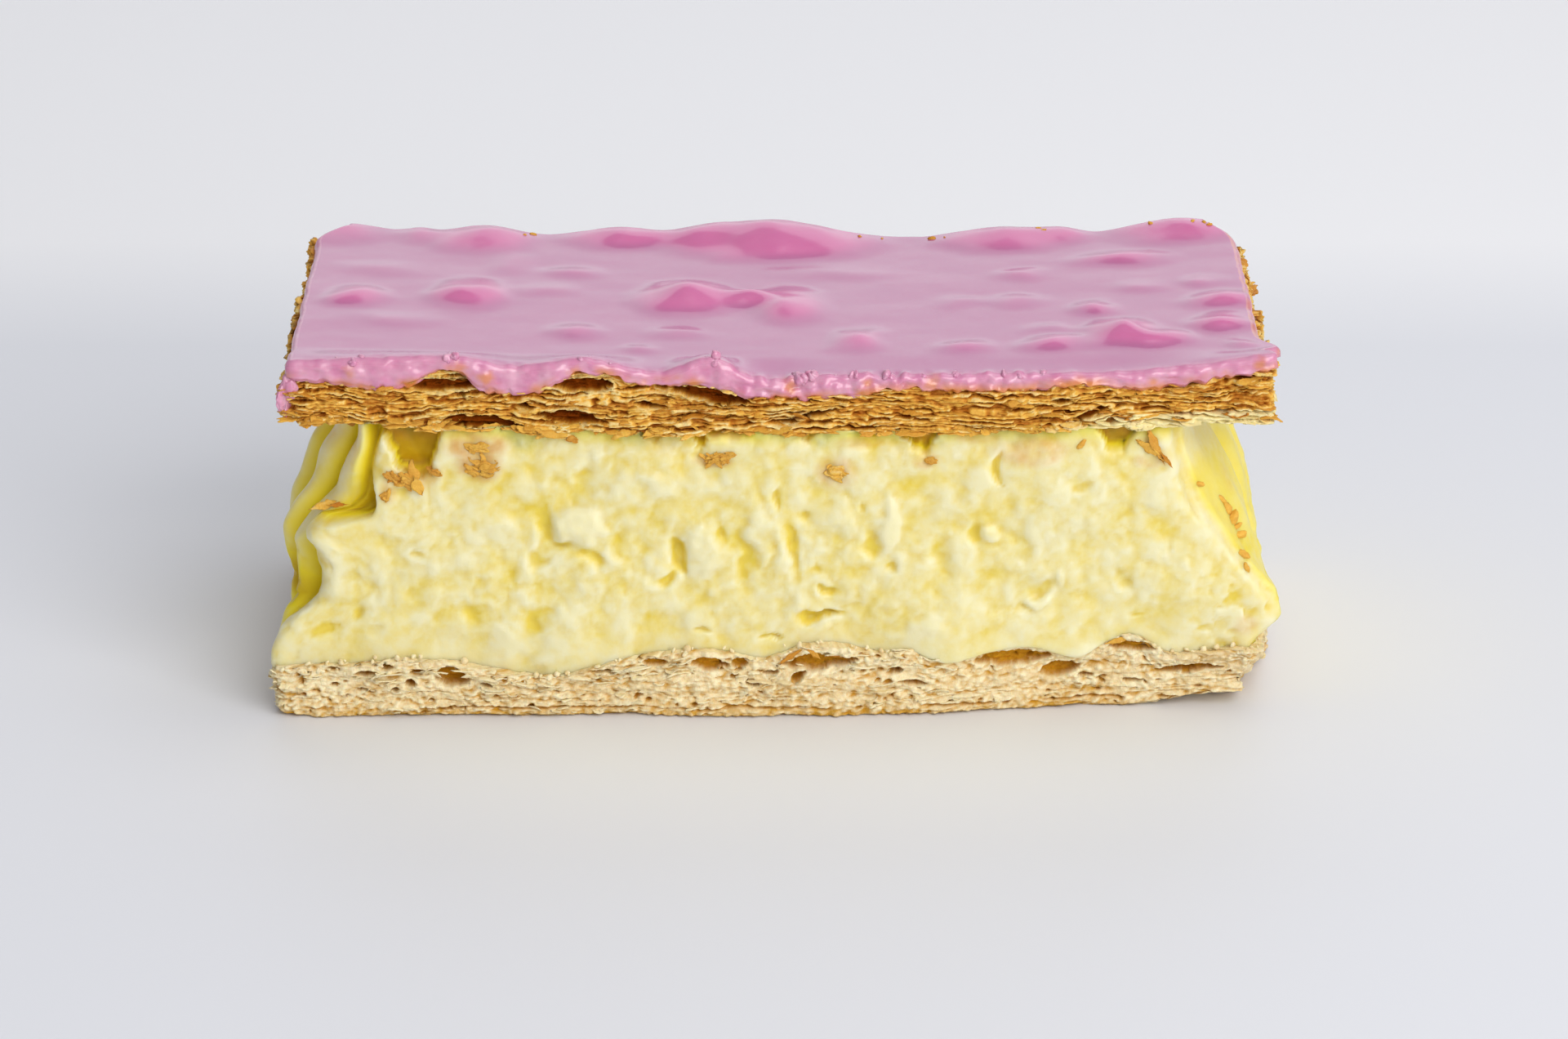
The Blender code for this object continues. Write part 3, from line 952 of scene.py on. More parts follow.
# How far the ends' piped lobes stand out, how far the custard hides behind the base's upper
# edge, and how far its foot frays at the ends.
LOBE_HEIGHT = 3.0 * MM
TUCK = 3.2 * MM
FRAY = 0.6 * MM


def form_height(x, z, form):
    """How far one lump stands out, or one dent goes in."""
    at_x, at_z, half_x, half_z, turn, height, softness = form
    angle = math.radians(turn)
    along = (x - at_x) * math.cos(angle) + (z - at_z) * math.sin(angle)
    across = (z - at_z) * math.cos(angle) - (x - at_x) * math.sin(angle)
    distance = np.hypot(along / half_x, across / half_z)
    return FORM_STRENGTH * height * MM * (1 - eased(distance, 1.05 - softness, 1.2))


def curdle(points, settings):
    """How far cut custard stands out: soft curds, fewer towards the foot, and its forms."""
    drift = [
        noise(points, 4 * MM, 20 + axis) + 0.6 * noise(points, 1.8 * MM, 26 + axis)
        for axis in range(3)
    ]
    at = points + MM * np.stack(drift, axis=-1)
    smear = eased(points[..., 2], 7 * MM, 13 * MM)
    curds = 0.62 - seed_distance(at, 3.6 * MM, 30)
    small = 0.62 - seed_distance(at, 1.5 * MM, 34)
    patchy = eased(rough(points, 9 * MM, 41), -0.5, 0.3)
    out = 0.9 * MM * rough(at, (8 * MM, 8 * MM, 9 * MM), 24)
    calm = 1 - 0.35 * eased(points[..., 0], 12 * MM, 26 * MM)
    out += settings.lump * calm * (0.8 * curds + 0.5 * small * patchy) * (0.35 + 0.65 * smear)
    out += 0.17 * MM * rough(points, 1.1 * MM, 38) * smear
    x, z = at[..., 0] / MM, at[..., 2] / MM
    at_front = front_face(points[..., 1])
    for form in FORMS:
        out += form_height(x, z, form) * at_front
    return out


def notch_share(points):
    """1 inside a hollow under the lid, 0 outside."""
    ragged = 0.9 * rough(points, 1.8 * MM, 44)
    x, z = points[..., 0] / MM + ragged, points[..., 2] / MM + ragged
    share = np.zeros(x.shape)
    for *corners, bottom in NOTCHES:
        edge = np.interp(x, corners, (38.0, bottom, bottom, 38.0))
        share = np.maximum(share, eased(z - edge, -0.2, 1.4))
    return share * eased(-points[..., 1], 20 * MM, 24 * MM)


def lobes(points, behind_cut, left):
    """How far the ends' piped lobes stand out, with a sharp crease between each two, and how
    shaded each point is by the lobe before it, from 0 to 1."""
    drift = 0.5 * MM * rough(points, 8 * MM, 50)
    leaning = (behind_cut + drift + CREASE_LEAN * (points[..., 2] - BREAK_LEVEL)) / MM
    out, shade = np.zeros(left.shape), np.zeros(left.shape)
    for here, creases in ((left, LEFT_CREASES), (~left, RIGHT_CREASES)):
        turn = np.interp(leaning, creases, range(len(creases)))
        part = turn - np.floor(turn)
        out += np.where(here, LOBE_HEIGHT * (np.sin(math.pi * part) ** 0.6 - 0.55), 0)
        shade += np.where(here, 1 - eased(part, 0.02, 0.6), 0) * (0.3 + 0.3 * left)
    return out, shade


def pleats(points):
    """How far the piped ends stand out behind the cut face, and how much painted shade each point
    gets in their folds and hollows, from 0 to 1."""
    x, y, z = (points[..., axis] for axis in range(3))
    left, behind_cut = x < 0, y + HALF_Y
    out, deep = lobes(points, behind_cut, left)
    behind = eased(behind_cut, 2.5 * MM, 4.5 * MM) * eased(-y, -27.2 * MM, -24 * MM)
    end = behind * eased(np.abs(x), 43 * MM, 47 * MM)
    out *= end * eased(z, 7 * MM, 15 * MM)
    deep *= end * eased(z, 7 * MM, 12 * MM)
    upper = eased(z, BREAK_LEVEL - 0.8 * MM, BREAK_LEVEL + 0.2 * MM)
    for here, edge, step in ((left, LEFT_CUT(z), LEFT_STEP), (~left, RIGHT_CUT(z), RIGHT_STEP)):
        beyond = here * upper * eased(np.abs(x) - edge, -0.3 * MM, 0.5 * MM)
        out -= beyond * np.maximum(step - behind_cut, 0)
        # Painted shade in the step behind the left end's cut face.
        deep = np.maximum(deep, 0.8 * left * beyond * (1 - eased(behind_cut, 3 * MM, 5 * MM)))
    bulge = eased(z, 26 * MM, 32 * MM) * (1 - eased(behind_cut, 12 * MM, 22 * MM))
    out += BULGE * bulge * end * left
    # The cave goes in a little, and gets painted shade.
    cave = bell(behind_cut, 9.0 * MM, 9 * MM) * eased(z, 8 * MM, 14 * MM)
    cave = 0.9 * cave * (1 - eased(z, 14 * MM, 23 * MM)) * left * end
    # The right end gets a thin share of the shaded piping colour, less near its top.
    warm = 0.4 * end * ~left * (1 - 0.8 * eased(z, 29 * MM, 34 * MM))
    return out - CAVE_DEPTH * cave, np.maximum(np.maximum(deep, warm), cave)


def ledge(points):
    """How far the cut custard stands out to the left, under its flat break, less its waist."""
    x, y, z = (points[..., axis] for axis in range(3))
    out = LEDGE * eased(z, 20.5 * MM, 23.8 * MM)
    out *= 1 - eased(z, BREAK_LEVEL - 0.1 * MM, BREAK_LEVEL + 0.4 * MM)
    out *= eased(-x, 48.0 * MM, 50.5 * MM)
    waist = WAIST * eased(-x, 44.0 * MM, 54.0 * MM) * bell(z, 16.5 * MM, 4.0 * MM)
    return (out - waist) * (1 - eased(y + HALF_Y, 3 * MM, 6 * MM))


# Places where butter and crumbs of the lid stain the custard, in millimetres: X, Z, half sizes
# and strength.
STAINS = (
    (-35.6, 32.0, 3.0, 2.3, 1.2),
    (-35.8, 34.6, 4.4, 2.0, 0.95),
    (-43.4, 30.6, 3.4, 1.6, 0.45),
    (-46.6, 28.6, 1.2, 1.6, 0.45),
    (7.0, 31.0, 2.6, 2.4, 0.55),
    (-7.6, 32.4, 2.6, 0.8, 0.8),
    (30.4, 33.8, 4.6, 2.0, 0.6),
    (10.0, 34.8, 3.4, 0.8, 0.5),
    (24.0, 35.4, 3.0, 0.8, 0.4),
    (44.6, 32.4, 2.4, 1.0, 0.6),
    (17.6, 32.6, 1.6, 1.2, 0.6),
    (55.4, 28.0, 2.4, 2.6, 0.5),
    (56.6, 10.8, 1.6, 1.6, 0.4),
)


def stained(points):
    """How strongly the custard is stained, in patches."""
    x, z = points[..., 0] / MM, points[..., 2] / MM
    patchy = 0.55 + 0.6 * rough(points, 1.3 * MM, 58)
    share = np.zeros(x.shape)
    for at_x, at_z, half_x, half_z, strength in STAINS:
        distance = np.hypot((x - at_x) / half_x, (z - at_z) / half_z)
        share = np.maximum(share, strength * (1 - eased(distance, 0.5, 1.2)))
    return share * patchy * eased(-points[..., 1], 14 * MM, 20 * MM)


class PASTRY_OT_custard(bpy.types.Operator):
    """Make the custard: curdled where it is cut, and in smooth piped pleats at its ends"""

    bl_idname = "pastry.custard"
    bl_label = "Custard"

    def execute(self, context):
        settings = context.scene.custard
        solid = Solid("custard", high_margin=12 * MM)

        def low(x, y):
            return solid.underside(x) - 0.5 * MM

        def high(x, y):
            return np.minimum(36.3 * MM + 1.7 * MM * (x / HALF_X) ** 2, 36.85 * MM)

        steps = 0.32 * MM, 0.5 * MM
        points, ways = find_wall(solid, 92, 14 * MM, steps, low, high, blur=(1.5, 3))
        out, values = self.shaped(points, settings)
        aside = ledge(points)
        points += ways * out[..., None]
        points[..., 0] -= aside
        points, faces, values = skin(
            points, lambda x, y: solid.underside(x), lambda x, y: solid.top(x), values
        )
        finish = self.finish(settings)
        mesh_piece("custard_curds", points, faces, finish, "custard_yellow", "custard", **values)
        return {"FINISHED"}

    def shaped(self, points, settings):
        """How far each point of the wall stands out, and its values for the material."""
        x, y, z = (points[..., axis] for axis in range(3))
        rows = np.linspace(0, 1, len(points))[:, None]
        cut = eased(np.abs(y), 22 * MM, 26 * MM)
        piped, shaded = pleats(points)
        torn = eased(x, 46 * MM, 50 * MM) * (1 - eased(z, 20 * MM, 26 * MM))
        out = curdle(points, settings) * (0.12 + 0.88 * np.maximum(cut, 0.7 * torn))
        frayed = eased(np.abs(x), 50 * MM, 54 * MM) * (1 - eased(z, 14 * MM, 24 * MM))
        out -= FRAY * frayed * eased(rough(points, 1.7 * MM, 45), -0.1, 0.9)
        # Painted shade: the further a point lies below its surroundings, the more crease colour it
        # gets.
        near = softened(out, 3, 3) - out
        wide = softened(out, 9, 9) - out
        crease = eased(near / (0.3 * MM) + wide / (0.6 * MM), -1.6, 2.6)
        notch = notch_share(points)
        out += piped - np.where(x < -30 * MM, LEFT_NOTCH_DEPTH, NOTCH_DEPTH) * notch
        below = 1 - eased(z - BASE_TOP(x), -1.6 * MM, -0.3 * MM)
        out -= below * near_front(y) * (TUCK + out)
        # Painted shade in the gaps under the lid, in the piped folds, and along the top of the cut
        # under the lid.
        deep = np.maximum(0.9 * notch, shaded)
        deep = np.maximum(deep, 0.4 * cut * eased(rows, 0.92, 0.99))
        # Real butter stains, and painted shade at the tops of the gaps under the lid.
        stain = np.maximum(stained(points), 0.7 * notch * eased(rows, 0.9, 1.0))
        foot = 0.5 * (1 - eased(rows, 0.0, 0.16)) * eased(rough(points, 6 * MM, 59), -0.8, 0.4)
        return out, {"crease": crease, "deep": deep, "stain": stain, "foot": foot}

    def finish(self, settings):
        """Soft cream that light goes into, with painted shade that makes it yellower in its creases
        and folds and darker in its hollows.
        """
        mix = Recipe(
            "custard_cream",
            IOR=1.4,
            Subsurface_Weight=0.9,
            Subsurface_Radius=(1.0, 0.95, 0.9),
            Subsurface_Scale=1.5 * MM,
        )
        curd = mix.grain(1.1 * MM, 2)
        share = mix.sum(mix.value("crease"), mix.spread(curd, 0, 1, -0.14, 0.14))
        share = mix.sum(share, mix.spread(mix.grain(4 * MM, 3), 0, 1, -0.26, 0.26))
        # Painted shade: creases take the crease colour, on top of the curds' own tone.
        colour = mix.blend(share, settings.cream, settings.crease)
        colour = mix.blend(mix.value("foot"), colour, settings.foot)
        # Painted shade: folds take the shaded piping colour, hollows the darker one, and both reflect
        # less.
        deep = mix.value("deep")
        colour = mix.blend(mix.spread(deep, 0, 0.6), colour, settings.shade)
        colour = mix.blend(mix.spread(deep, 0.6, 1), colour, settings.hollow)
        # Real stains, and painted shade at the tops of the gaps under the lid.
        colour = mix.blend(mix.value("stain"), colour, settings.stain)
        mix.set(
            Base_Color=colour,
            Roughness=mix.spread(curd, 0, 1, 0.3, 0.42),
            Specular_IOR_Level=mix.spread(deep, 0, 1, 0.5, 0.1),
        )
        mix.relief(mix.grain(0.9 * MM, 2), 0.02 * MM)
        return mix.finish


# Icing --------------------------------------------------------------------------------------


class IcingSettings(bpy.types.PropertyGroup):
    roll: size_setting("Rounding", "Radius of the icing's upper edge", 0.9)
    wave: size_setting("Waves", "Height of the low waves on top", 0.14)
    pink: colour_setting("Icing", "The flat of the icing", 0.505, 0.146, 0.327)
    # Icing on blisters: painted light, a brighter and deeper pink for how the blisters reflect less
    # sheen than the flat.
    thin: colour_setting("Icing on blisters", "Where a blister stretches the icing", 0.68, 0.165, 0.385)
    cut: colour_setting("Cut icing", "Where the knife cut it", 0.75, 0.38, 0.51)
    deep_cut: colour_setting("Darker cut icing", "Darker flecks in the cut", 0.68, 0.23, 0.40)
    crust: colour_setting("Crust under thin icing", "Where the lid shows through", 0.72, 0.25, 0.06)


# Blisters in the icing, in millimetres: the peak in X and Y, half sizes, and height.
BLISTERS = (
    (-11.3, 0.6, 6.2, 5.8, 2.5),
    (-38.3, 0.3, 4.8, 5.6, 1.6),
    (-52.0, -1.8, 3.6, 3.6, 1.1),
    (-3.6, 0.6, 3.4, 3.2, 1.6),
    (1.2, -2.6, 4.6, 6.4, 1.5),
    (-24.5, -12.2, 3.6, 2.8, 0.7),
    (-12.5, -12.4, 4.4, 2.0, 0.45),
    (-25.8, 11.0, 4.2, 2.6, 0.55),
    (-29.0, 3.6, 5.0, 2.2, 0.35),
    (-50.0, 10.0, 6.0, 3.0, 0.35),
    (-47.0, -9.0, 7.0, 2.6, 0.3),
    (-33.5, 14.0, 3.0, 5.0, 0.4),
    (-37.3, 23.8, 6.0, 5.6, 1.7),
    (-45.5, 25.0, 3.2, 3.4, 0.8),
    (-55.5, 25.0, 6.0, 5.0, 0.9),
    (-20.0, 25.2, 7.6, 4.0, 1.6),
    (-1.5, 24.4, 13.0, 7.6, 3.0),
    (-10.0, 25.0, 4.0, 4.2, 0.7),
    (29.0, 24.6, 8.6, 5.2, 1.7),
    (36.0, 25.4, 4.0, 3.4, 0.7),
    (50.5, 25.4, 8.6, 4.6, 1.8),
    (43.2, 15.0, 6.4, 2.8, 1.0),
    (30.0, 9.6, 3.8, 2.6, 0.55),
    (52.4, 5.0, 3.0, 2.0, 0.5),
    (44.6, 3.4, 4.2, 2.6, 0.45),
    (22.0, -0.4, 3.2, 2.4, 0.35),
    (29.2, -0.6, 4.4, 2.6, 0.55),
    (39.0, -4.4, 3.2, 2.6, 0.9),
    (54.2, -3.6, 4.6, 3.2, 1.2),
    (54.0, -12.0, 4.2, 3.2, 1.2),
    (41.8, -15.0, 4.8, 5.0, 2.1),
    (46.8, -17.4, 3.6, 2.6, 1.0),
    (33.2, -17.6, 4.2, 2.6, 1.0),
    (22.4, -18.4, 3.8, 2.4, 0.7),
    (9.6, -15.6, 3.8, 4.2, 1.1),
    (33.0, -11.6, 4.0, 1.8, 0.35),
    (8.0, 12.0, 9.0, 3.0, 0.3),
    (-16.6, -18.4, 2.6, 1.4, 0.5),
    (56.0, -20.5, 2.6, 2.4, 0.7),
)

# Where crust shows through the lip, in millimetres: X, Z and reach.
LIP_SPOTS = (
    (-50.8, 43.6, 1.5),
    (-37.6, 44.2, 1.6),
    (-34.6, 43.0, 1.4),
    (-24.0, 43.8, 1.2),
    (1.4, 42.0, 1.3),
    (10.6, 42.4, 1.0),
    (18.4, 42.0, 2.0),
    (44.6, 42.6, 1.0),
    (57.2, 45.0, 0.9),
)


# The icing's top is a grid of this many columns and files, and its side has this many rows.
COLUMNS, FILES, BAND_ROWS = 470, 92, 26


class PASTRY_OT_icing(bpy.types.Operator):
    """Make the icing: a glossy sheet over blisters, with a rough lip where the knife cut it"""

    bl_idname = "pastry.icing"
    bl_label = "Icing"

    def execute(self, context):
        settings = context.scene.icing
        self.solid = Solid("icing")
        x, y = self.outline(settings.roll)
        z, blister_share = self.blistered(x, y, settings)
        top = np.stack([x, y, z], axis=-1)
        rim = grid_rim(COLUMNS, FILES)
        rings = self.side(top[rim[:, 1], rim[:, 0]], rim, settings.roll)
        grid = top.reshape(-1, 3)
        pole = rings[-1].mean(axis=0, keepdims=True)
        points = np.concatenate([grid, rings.reshape(-1, 3), pole])
        lip, lift = np.zeros(len(points)), np.zeros(len(points))
        depth = np.arange(len(rings)) / BAND_ROWS
        lip[: len(grid)] = 0.6 * eased(-grid[:, 1], 25.6 * MM, 27 * MM)
        lip[len(grid) : -1] = np.repeat(0.6 + 0.4 * eased(depth, 0, 0.35), len(rim))
        # The blisters' painted light is stored as lift.
        lift[: len(grid)] = blister_share.ravel()
        values = {"lip": lip, "stain": self.bare(points, lip), "lift": lift}
        faces = self.faces(rim, len(rings))
        finish = self.finish(settings)
        mesh_piece("icing_sheet", points, faces, finish, "fondant_pink", "icing", **values)
        return {"FINISHED"}

    def outline(self, roll):
        """X and Y of the top's corners: an even grid pulled out to the icing's ragged outline,
        less a rounding's radius."""
        across = np.linspace(-1, 1, COLUMNS + 1)
        along = np.linspace(-1, 1, FILES + 1)
        x, y = np.meshgrid(across * HALF_X, along * HALF_Y)
        low, high = self.solid.low, self.solid.high
        ragged = 0.25 * MM * rough(on_plan(x, y), (3.5 * MM, 3.5 * MM, MM), 103)
        ragged -= 0.1 * MM + roll
        tongue = 2.0 * MM * bell(y, -21.5 * MM, 2.2 * MM) * eased(x, 50 * MM, HALF_X)
        tongue += 1.5 * MM * eased(-y, 24.5 * MM, HALF_Y) * eased(x, 50 * MM, HALF_X)
        sizes = np.where(x < 0, -low[0] - 0.5 * MM, high[0] - 0.9 * MM)
        sizes += ragged + tongue - 3.2 * MM * eased(y, HALF_Y - 7 * MM, HALF_Y) ** 2
        depths = np.where(y < 0, -low[1], high[1]) + ragged
        return x / HALF_X * sizes, y / HALF_Y * depths

    def blistered(self, x, y, settings):
        """Height of the top: low waves, cone-like blisters, and the line of the lip in front.
        Also how high on a blister each point is, from 0 to 1, for the blisters' painted light."""
        flat = on_plan(x, y)
        drift = 0.8 * MM * noise(flat, (4 * MM, 4 * MM, MM), 104)
        level = TOP_LEVEL + TOP_BOW * (x / HALF_X) ** 2
        z = level + settings.wave * rough(flat, (14 * MM, 6 * MM, MM), 101)
        for at_x, at_y, half_x, half_y, height in BLISTERS:
            behind = ((y + drift) / MM - at_y) * half_x / half_y
            behind = np.where(behind > 0, 0.8, 1.15) * behind
            away = np.hypot((x + drift) / MM - at_x, behind)
            share = np.clip(1 - away / half_x / 1.35, 0, 1)
            z += height * MM * 0.5 * (share**1.5 + share * share * (3 - 2 * share))
        z = softened(z, 1.0, 2.2, closes=False)
        # How high on a blister each point is, for the painted light on blisters.
        blister_share = eased(z - level, 0.1 * MM, 0.9 * MM)
        z += 0.02 * MM * rough(flat, (2.5 * MM, 1.6 * MM, MM), 105)
        turned_down = eased(-y, 20.5 * MM, 26 * MM)
        crumbly = eased(x, -8 * MM, 0) * (1 - eased(x, 28 * MM, 40 * MM))
        nicks = noise(flat, (0.9 * MM, 0.9 * MM, MM), 106) * (0.12 + 0.3 * crumbly)
        nicks += 0.2 * rough(flat, (2.2 * MM, 2.2 * MM, MM), 102)
        line = LIP_TOP(x) + MM * nicks * eased(-y, 25.8 * MM, 26.8 * MM)
        z += turned_down * (line - z)
        return np.minimum(z, self.solid.high[2] - 0.02 * MM), blister_share

    def underside(self, x, y):
        """Its height, which follows the lip's lower edge along the front."""
        front = near_front(y)
        return self.solid.underside(x) * (1 - front) + LIP_BOTTOM(x) * front

    def side(self, ring, rim, roll):
        """Rings of the side and of the underside, from the top's rim on."""
        side_x = (rim[:, 0] == COLUMNS).astype(float) - (rim[:, 0] == 0)
        side_y = (rim[:, 1] == FILES).astype(float) - (rim[:, 1] == 0)
        ways = np.stack([side_x, side_y, 0 * side_x], axis=-1)
        ways /= np.linalg.norm(ways, axis=-1, keepdims=True)
        band = self.band(ring, ways, roll)
        return np.array([*band, *caps(band[-1], self.underside)])

    def faces(self, rim, ring_count):
        """The top's quads, those that join it to the side, the side's and the last fan."""
        first = (COLUMNS + 1) * (FILES + 1)
        count = len(rim)
        rim_index = rim[:, 0] + (COLUMNS + 1) * rim[:, 1]
        here = np.arange(count)
        after = np.roll(here, -1)
        join = np.stack([rim_index, first + here, first + after, rim_index[after]], axis=-1)
        walls = ring_faces(ring_count, count, first)[:, ::-1]
        last = first + (ring_count - 1) * count
        fan = [(last + i, last + count, last + j) for i, j in enumerate(after)]
        return grid_quads(COLUMNS, FILES).tolist() + join.tolist() + walls.tolist() + fan

    def bare(self, points, lip):
        """How much crust shows through the lip: along its lower edge and at a few spots."""
        height = points[:, 2] - LIP_BOTTOM(points[:, 0])
        near_crust = 1 - eased(height, 0.1 * MM, 1.7 * MM)
        stain = lip * near_crust * eased(rough(points, 2.6 * MM, 117), -0.25, 0.4)
        ragged = 0.8 * rough(points, 1.3 * MM, 118)
        for at_x, at_z, reach in LIP_SPOTS:
            away = np.hypot(points[:, 0] / MM - at_x, points[:, 2] / MM - at_z) / reach
            stain = np.maximum(stain, 0.8 * lip * (1 - eased(away + ragged, 0.0, 1.1)))
        return stain

    def band(self, ring, ways, roll):
        """Rings from the top's rim round the upper edge and down the side."""
        flat = ring * (1, 1, 0)
        front = near_front(ring[:, 1])
        bottom = self.underside(ring[:, 0], ring[:, 1])
        ragged = 0.5 * rough(flat, 1.5 * MM, 110) + 0.3 * noise(flat, 0.6 * MM, 109)
        bottom = np.minimum(bottom + MM * ragged * front, ring[:, 2] - 0.6 * MM)
        rings = []
        for row in range(1, BAND_ROWS + 1):
            share = row / BAND_ROWS
            turn = min(share / 0.35, 1) * math.pi / 2
            fall = np.clip((share - 0.35) / 0.65, 0, 1)
            out = roll * math.sin(turn) - 0.5 * MM * eased(share, 0.8, 1.0)
            drop = roll * (1 - math.cos(turn))
            points = flat + ways * out
            points[:, 2] = (ring[:, 2] - drop) * (1 - fall) + bottom * fall
            lumps = 0.55 * MM * rough(points, (3.0 * MM, 3.0 * MM, 1.6 * MM), 111)
            crumbly = 0.15 + eased(points[:, 0], -8 * MM, 0)
            crumbly *= 1 - 0.8 * eased(points[:, 0], 28 * MM, 40 * MM)
            lumps += 0.7 * MM * crumbly * (0.4 - seed_distance(points, 1.4 * MM, 115))
            points += ways * (lumps * eased(share, 0.1, 0.4) * (0.3 + 0.7 * front))[:, None]
            rings.append(points)
        return rings

    def finish(self, settings):
        """Glossy pink, with painted light that makes it a brighter, deeper pink on blisters, and paler
        where it is cut.
        """
        mix = Recipe(
            "pink_icing",
            IOR=1.75,
            Subsurface_Weight=0.25,
            Subsurface_Radius=(1.0, 0.5, 0.6),
            Subsurface_Scale=1.2 * MM,
        )
        lip = mix.value("lip")
        tinge = mix.spread(mix.grain(7 * MM), 0, 1, 0.0, 0.12)
        # Painted light: the blisters take the brighter pink.
        colour = mix.blend(mix.value("lift"), settings.pink, settings.thin)
        cut = mix.blend(mix.grain(1.8 * MM, 3), settings.cut, settings.deep_cut)
        colour = mix.blend(mix.sum(lip, tinge), colour, cut)
        mix.set(
            Base_Color=mix.blend(mix.value("stain"), colour, settings.crust),
            Roughness=mix.spread(lip, 0, 1, 0.16, 0.28),
        )
        return mix.finish


# Flakes and crumbs --------------------------------------------------------------------------


# Columns and files of a flake's grid.
FLAKE_CELLS = 10, 6


def thin_sheet(half_x, half_y, thickness, seed, curl, taper=0.3):
    """A ragged, wavy leaf of pastry lying on the origin: its points and faces. Its ends curl up
    and taper by these shares of its half sizes."""
    cells = FLAKE_CELLS
    across, along = (np.linspace(-1, 1, count + 1) for count in cells)
    a, b = np.meshgrid(across, along)
    flat = np.stack([a * half_x, b * half_y, 0 * a + 3 * MM * seed], axis=-1)
    grain = 0.45 * min(half_x, half_y)
    edge = np.maximum(np.abs(a), np.abs(b))
    pull = 1 - edge**2 * (0.22 + 0.3 * noise(flat, 1.6 * grain, 130))
    pull -= 0.12 * edge * a * a * b * b
    wave = 0.3 * half_y * rough(flat, 3 * grain, 133) + curl * half_x * a * a
    half_thick = 0.5 * thickness * (1 - 0.75 * edge**6)
    narrow = pull * (1 - taper * np.abs(a) ** 1.3)
    sides = [
        np.stack([flat[..., 0] * pull, flat[..., 1] * narrow, wave + sign * half_thick], axis=-1)
        for sign in (1, -1)
    ]
    top = grid_quads(*cells)
    rim = grid_rim(*cells) @ (1, cells[0] + 1)
    after = np.roll(rim, -1)
    walls = np.stack([after, rim, rim + a.size, after + a.size], axis=-1)
    faces = np.concatenate([top, top[:, ::-1] + a.size, walls])
    return np.concatenate([side.reshape(-1, 3) for side in sides]), faces


def crumb_form(size, seed, rounds=2):
    """A lumpy little chunk, finer with more rounds: its points and faces."""
    ball = bmesh.new()
    bmesh.ops.create_icosphere(ball, subdivisions=rounds, radius=1)
    points = np.array([corner.co for corner in ball.verts])
    faces = np.array([[corner.index for corner in face.verts] for face in ball.faces])
    ball.free()
    lumps = 1 + 0.45 * rough(points + 5 * seed, 0.9, 140) + 0.15 * noise(points, 0.3, 143 + seed)
    return points * lumps[:, None] * np.array(size), faces


class Heap:
    """Many small closed forms, gathered to be one piece."""

    def __init__(self):
        self.points, self.faces, self.bakes, self.count = [], [], [], 0

    def add(self, form, place, turn, bake):
        """Adds (points, faces), turned by three angles in degrees, at a place."""
        points, faces = form
        angles = [math.radians(angle) for angle in turn]
        matrix = np.array(Euler(angles).to_matrix())
        self.points.append(points @ matrix.T + np.array(place))
        self.faces += (faces + self.count).tolist()
        self.bakes.append(np.full(len(points), bake))
        self.count += len(points)

    def piece(self, name, finish, slot, **values):
        """The piece, with a value of its own for each form, called bake, and values for all."""
        bakes = np.concatenate(self.bakes)
        points = np.clip(np.concatenate(self.points), *LOOSE_BOX)
        spread = {key: np.full(len(points), value) for key, value in values.items()}
        return mesh_piece(name, points, self.faces, finish, slot, bake=bakes, **spread)


def wall_places(piece, solid, chance, count, band):
    """Random corners of a piece's wall within a band of its height, more of them at the front,
    with the way out of each and its direction in degrees."""
    corners = piece.data.vertices
    points = np.empty(3 * len(corners), np.float32)
    corners.foreach_get("co", points)
    points = points.reshape(-1, 3)
    beyond = np.abs(points[:, :2]) - (HALF_X - MM, HALF_Y - MM)
    odds = (beyond.max(axis=1) > 0) * np.where(points[:, 1] < -HALF_Y + MM, 1.0, 0.5)
    bottom, top = solid.underside(points[:, 0]), solid.top(points[:, 0])
    share = (points[:, 2] - bottom) / (top - bottom)
    odds *= (share > band[0]) * (share < band[1])
    for point in points[chance.choice(len(points), count, p=odds / odds.sum())]:
        sides = (abs(point[0]) - HALF_X, abs(point[1]) - HALF_Y)
        if sides[0] > sides[1]:
            yield point, (math.copysign(1, point[0]), 0), 90 * math.copysign(1, point[0])
        else:
            yield point, (0, math.copysign(1, point[1])), 90 * (1 + math.copysign(1, point[1]))


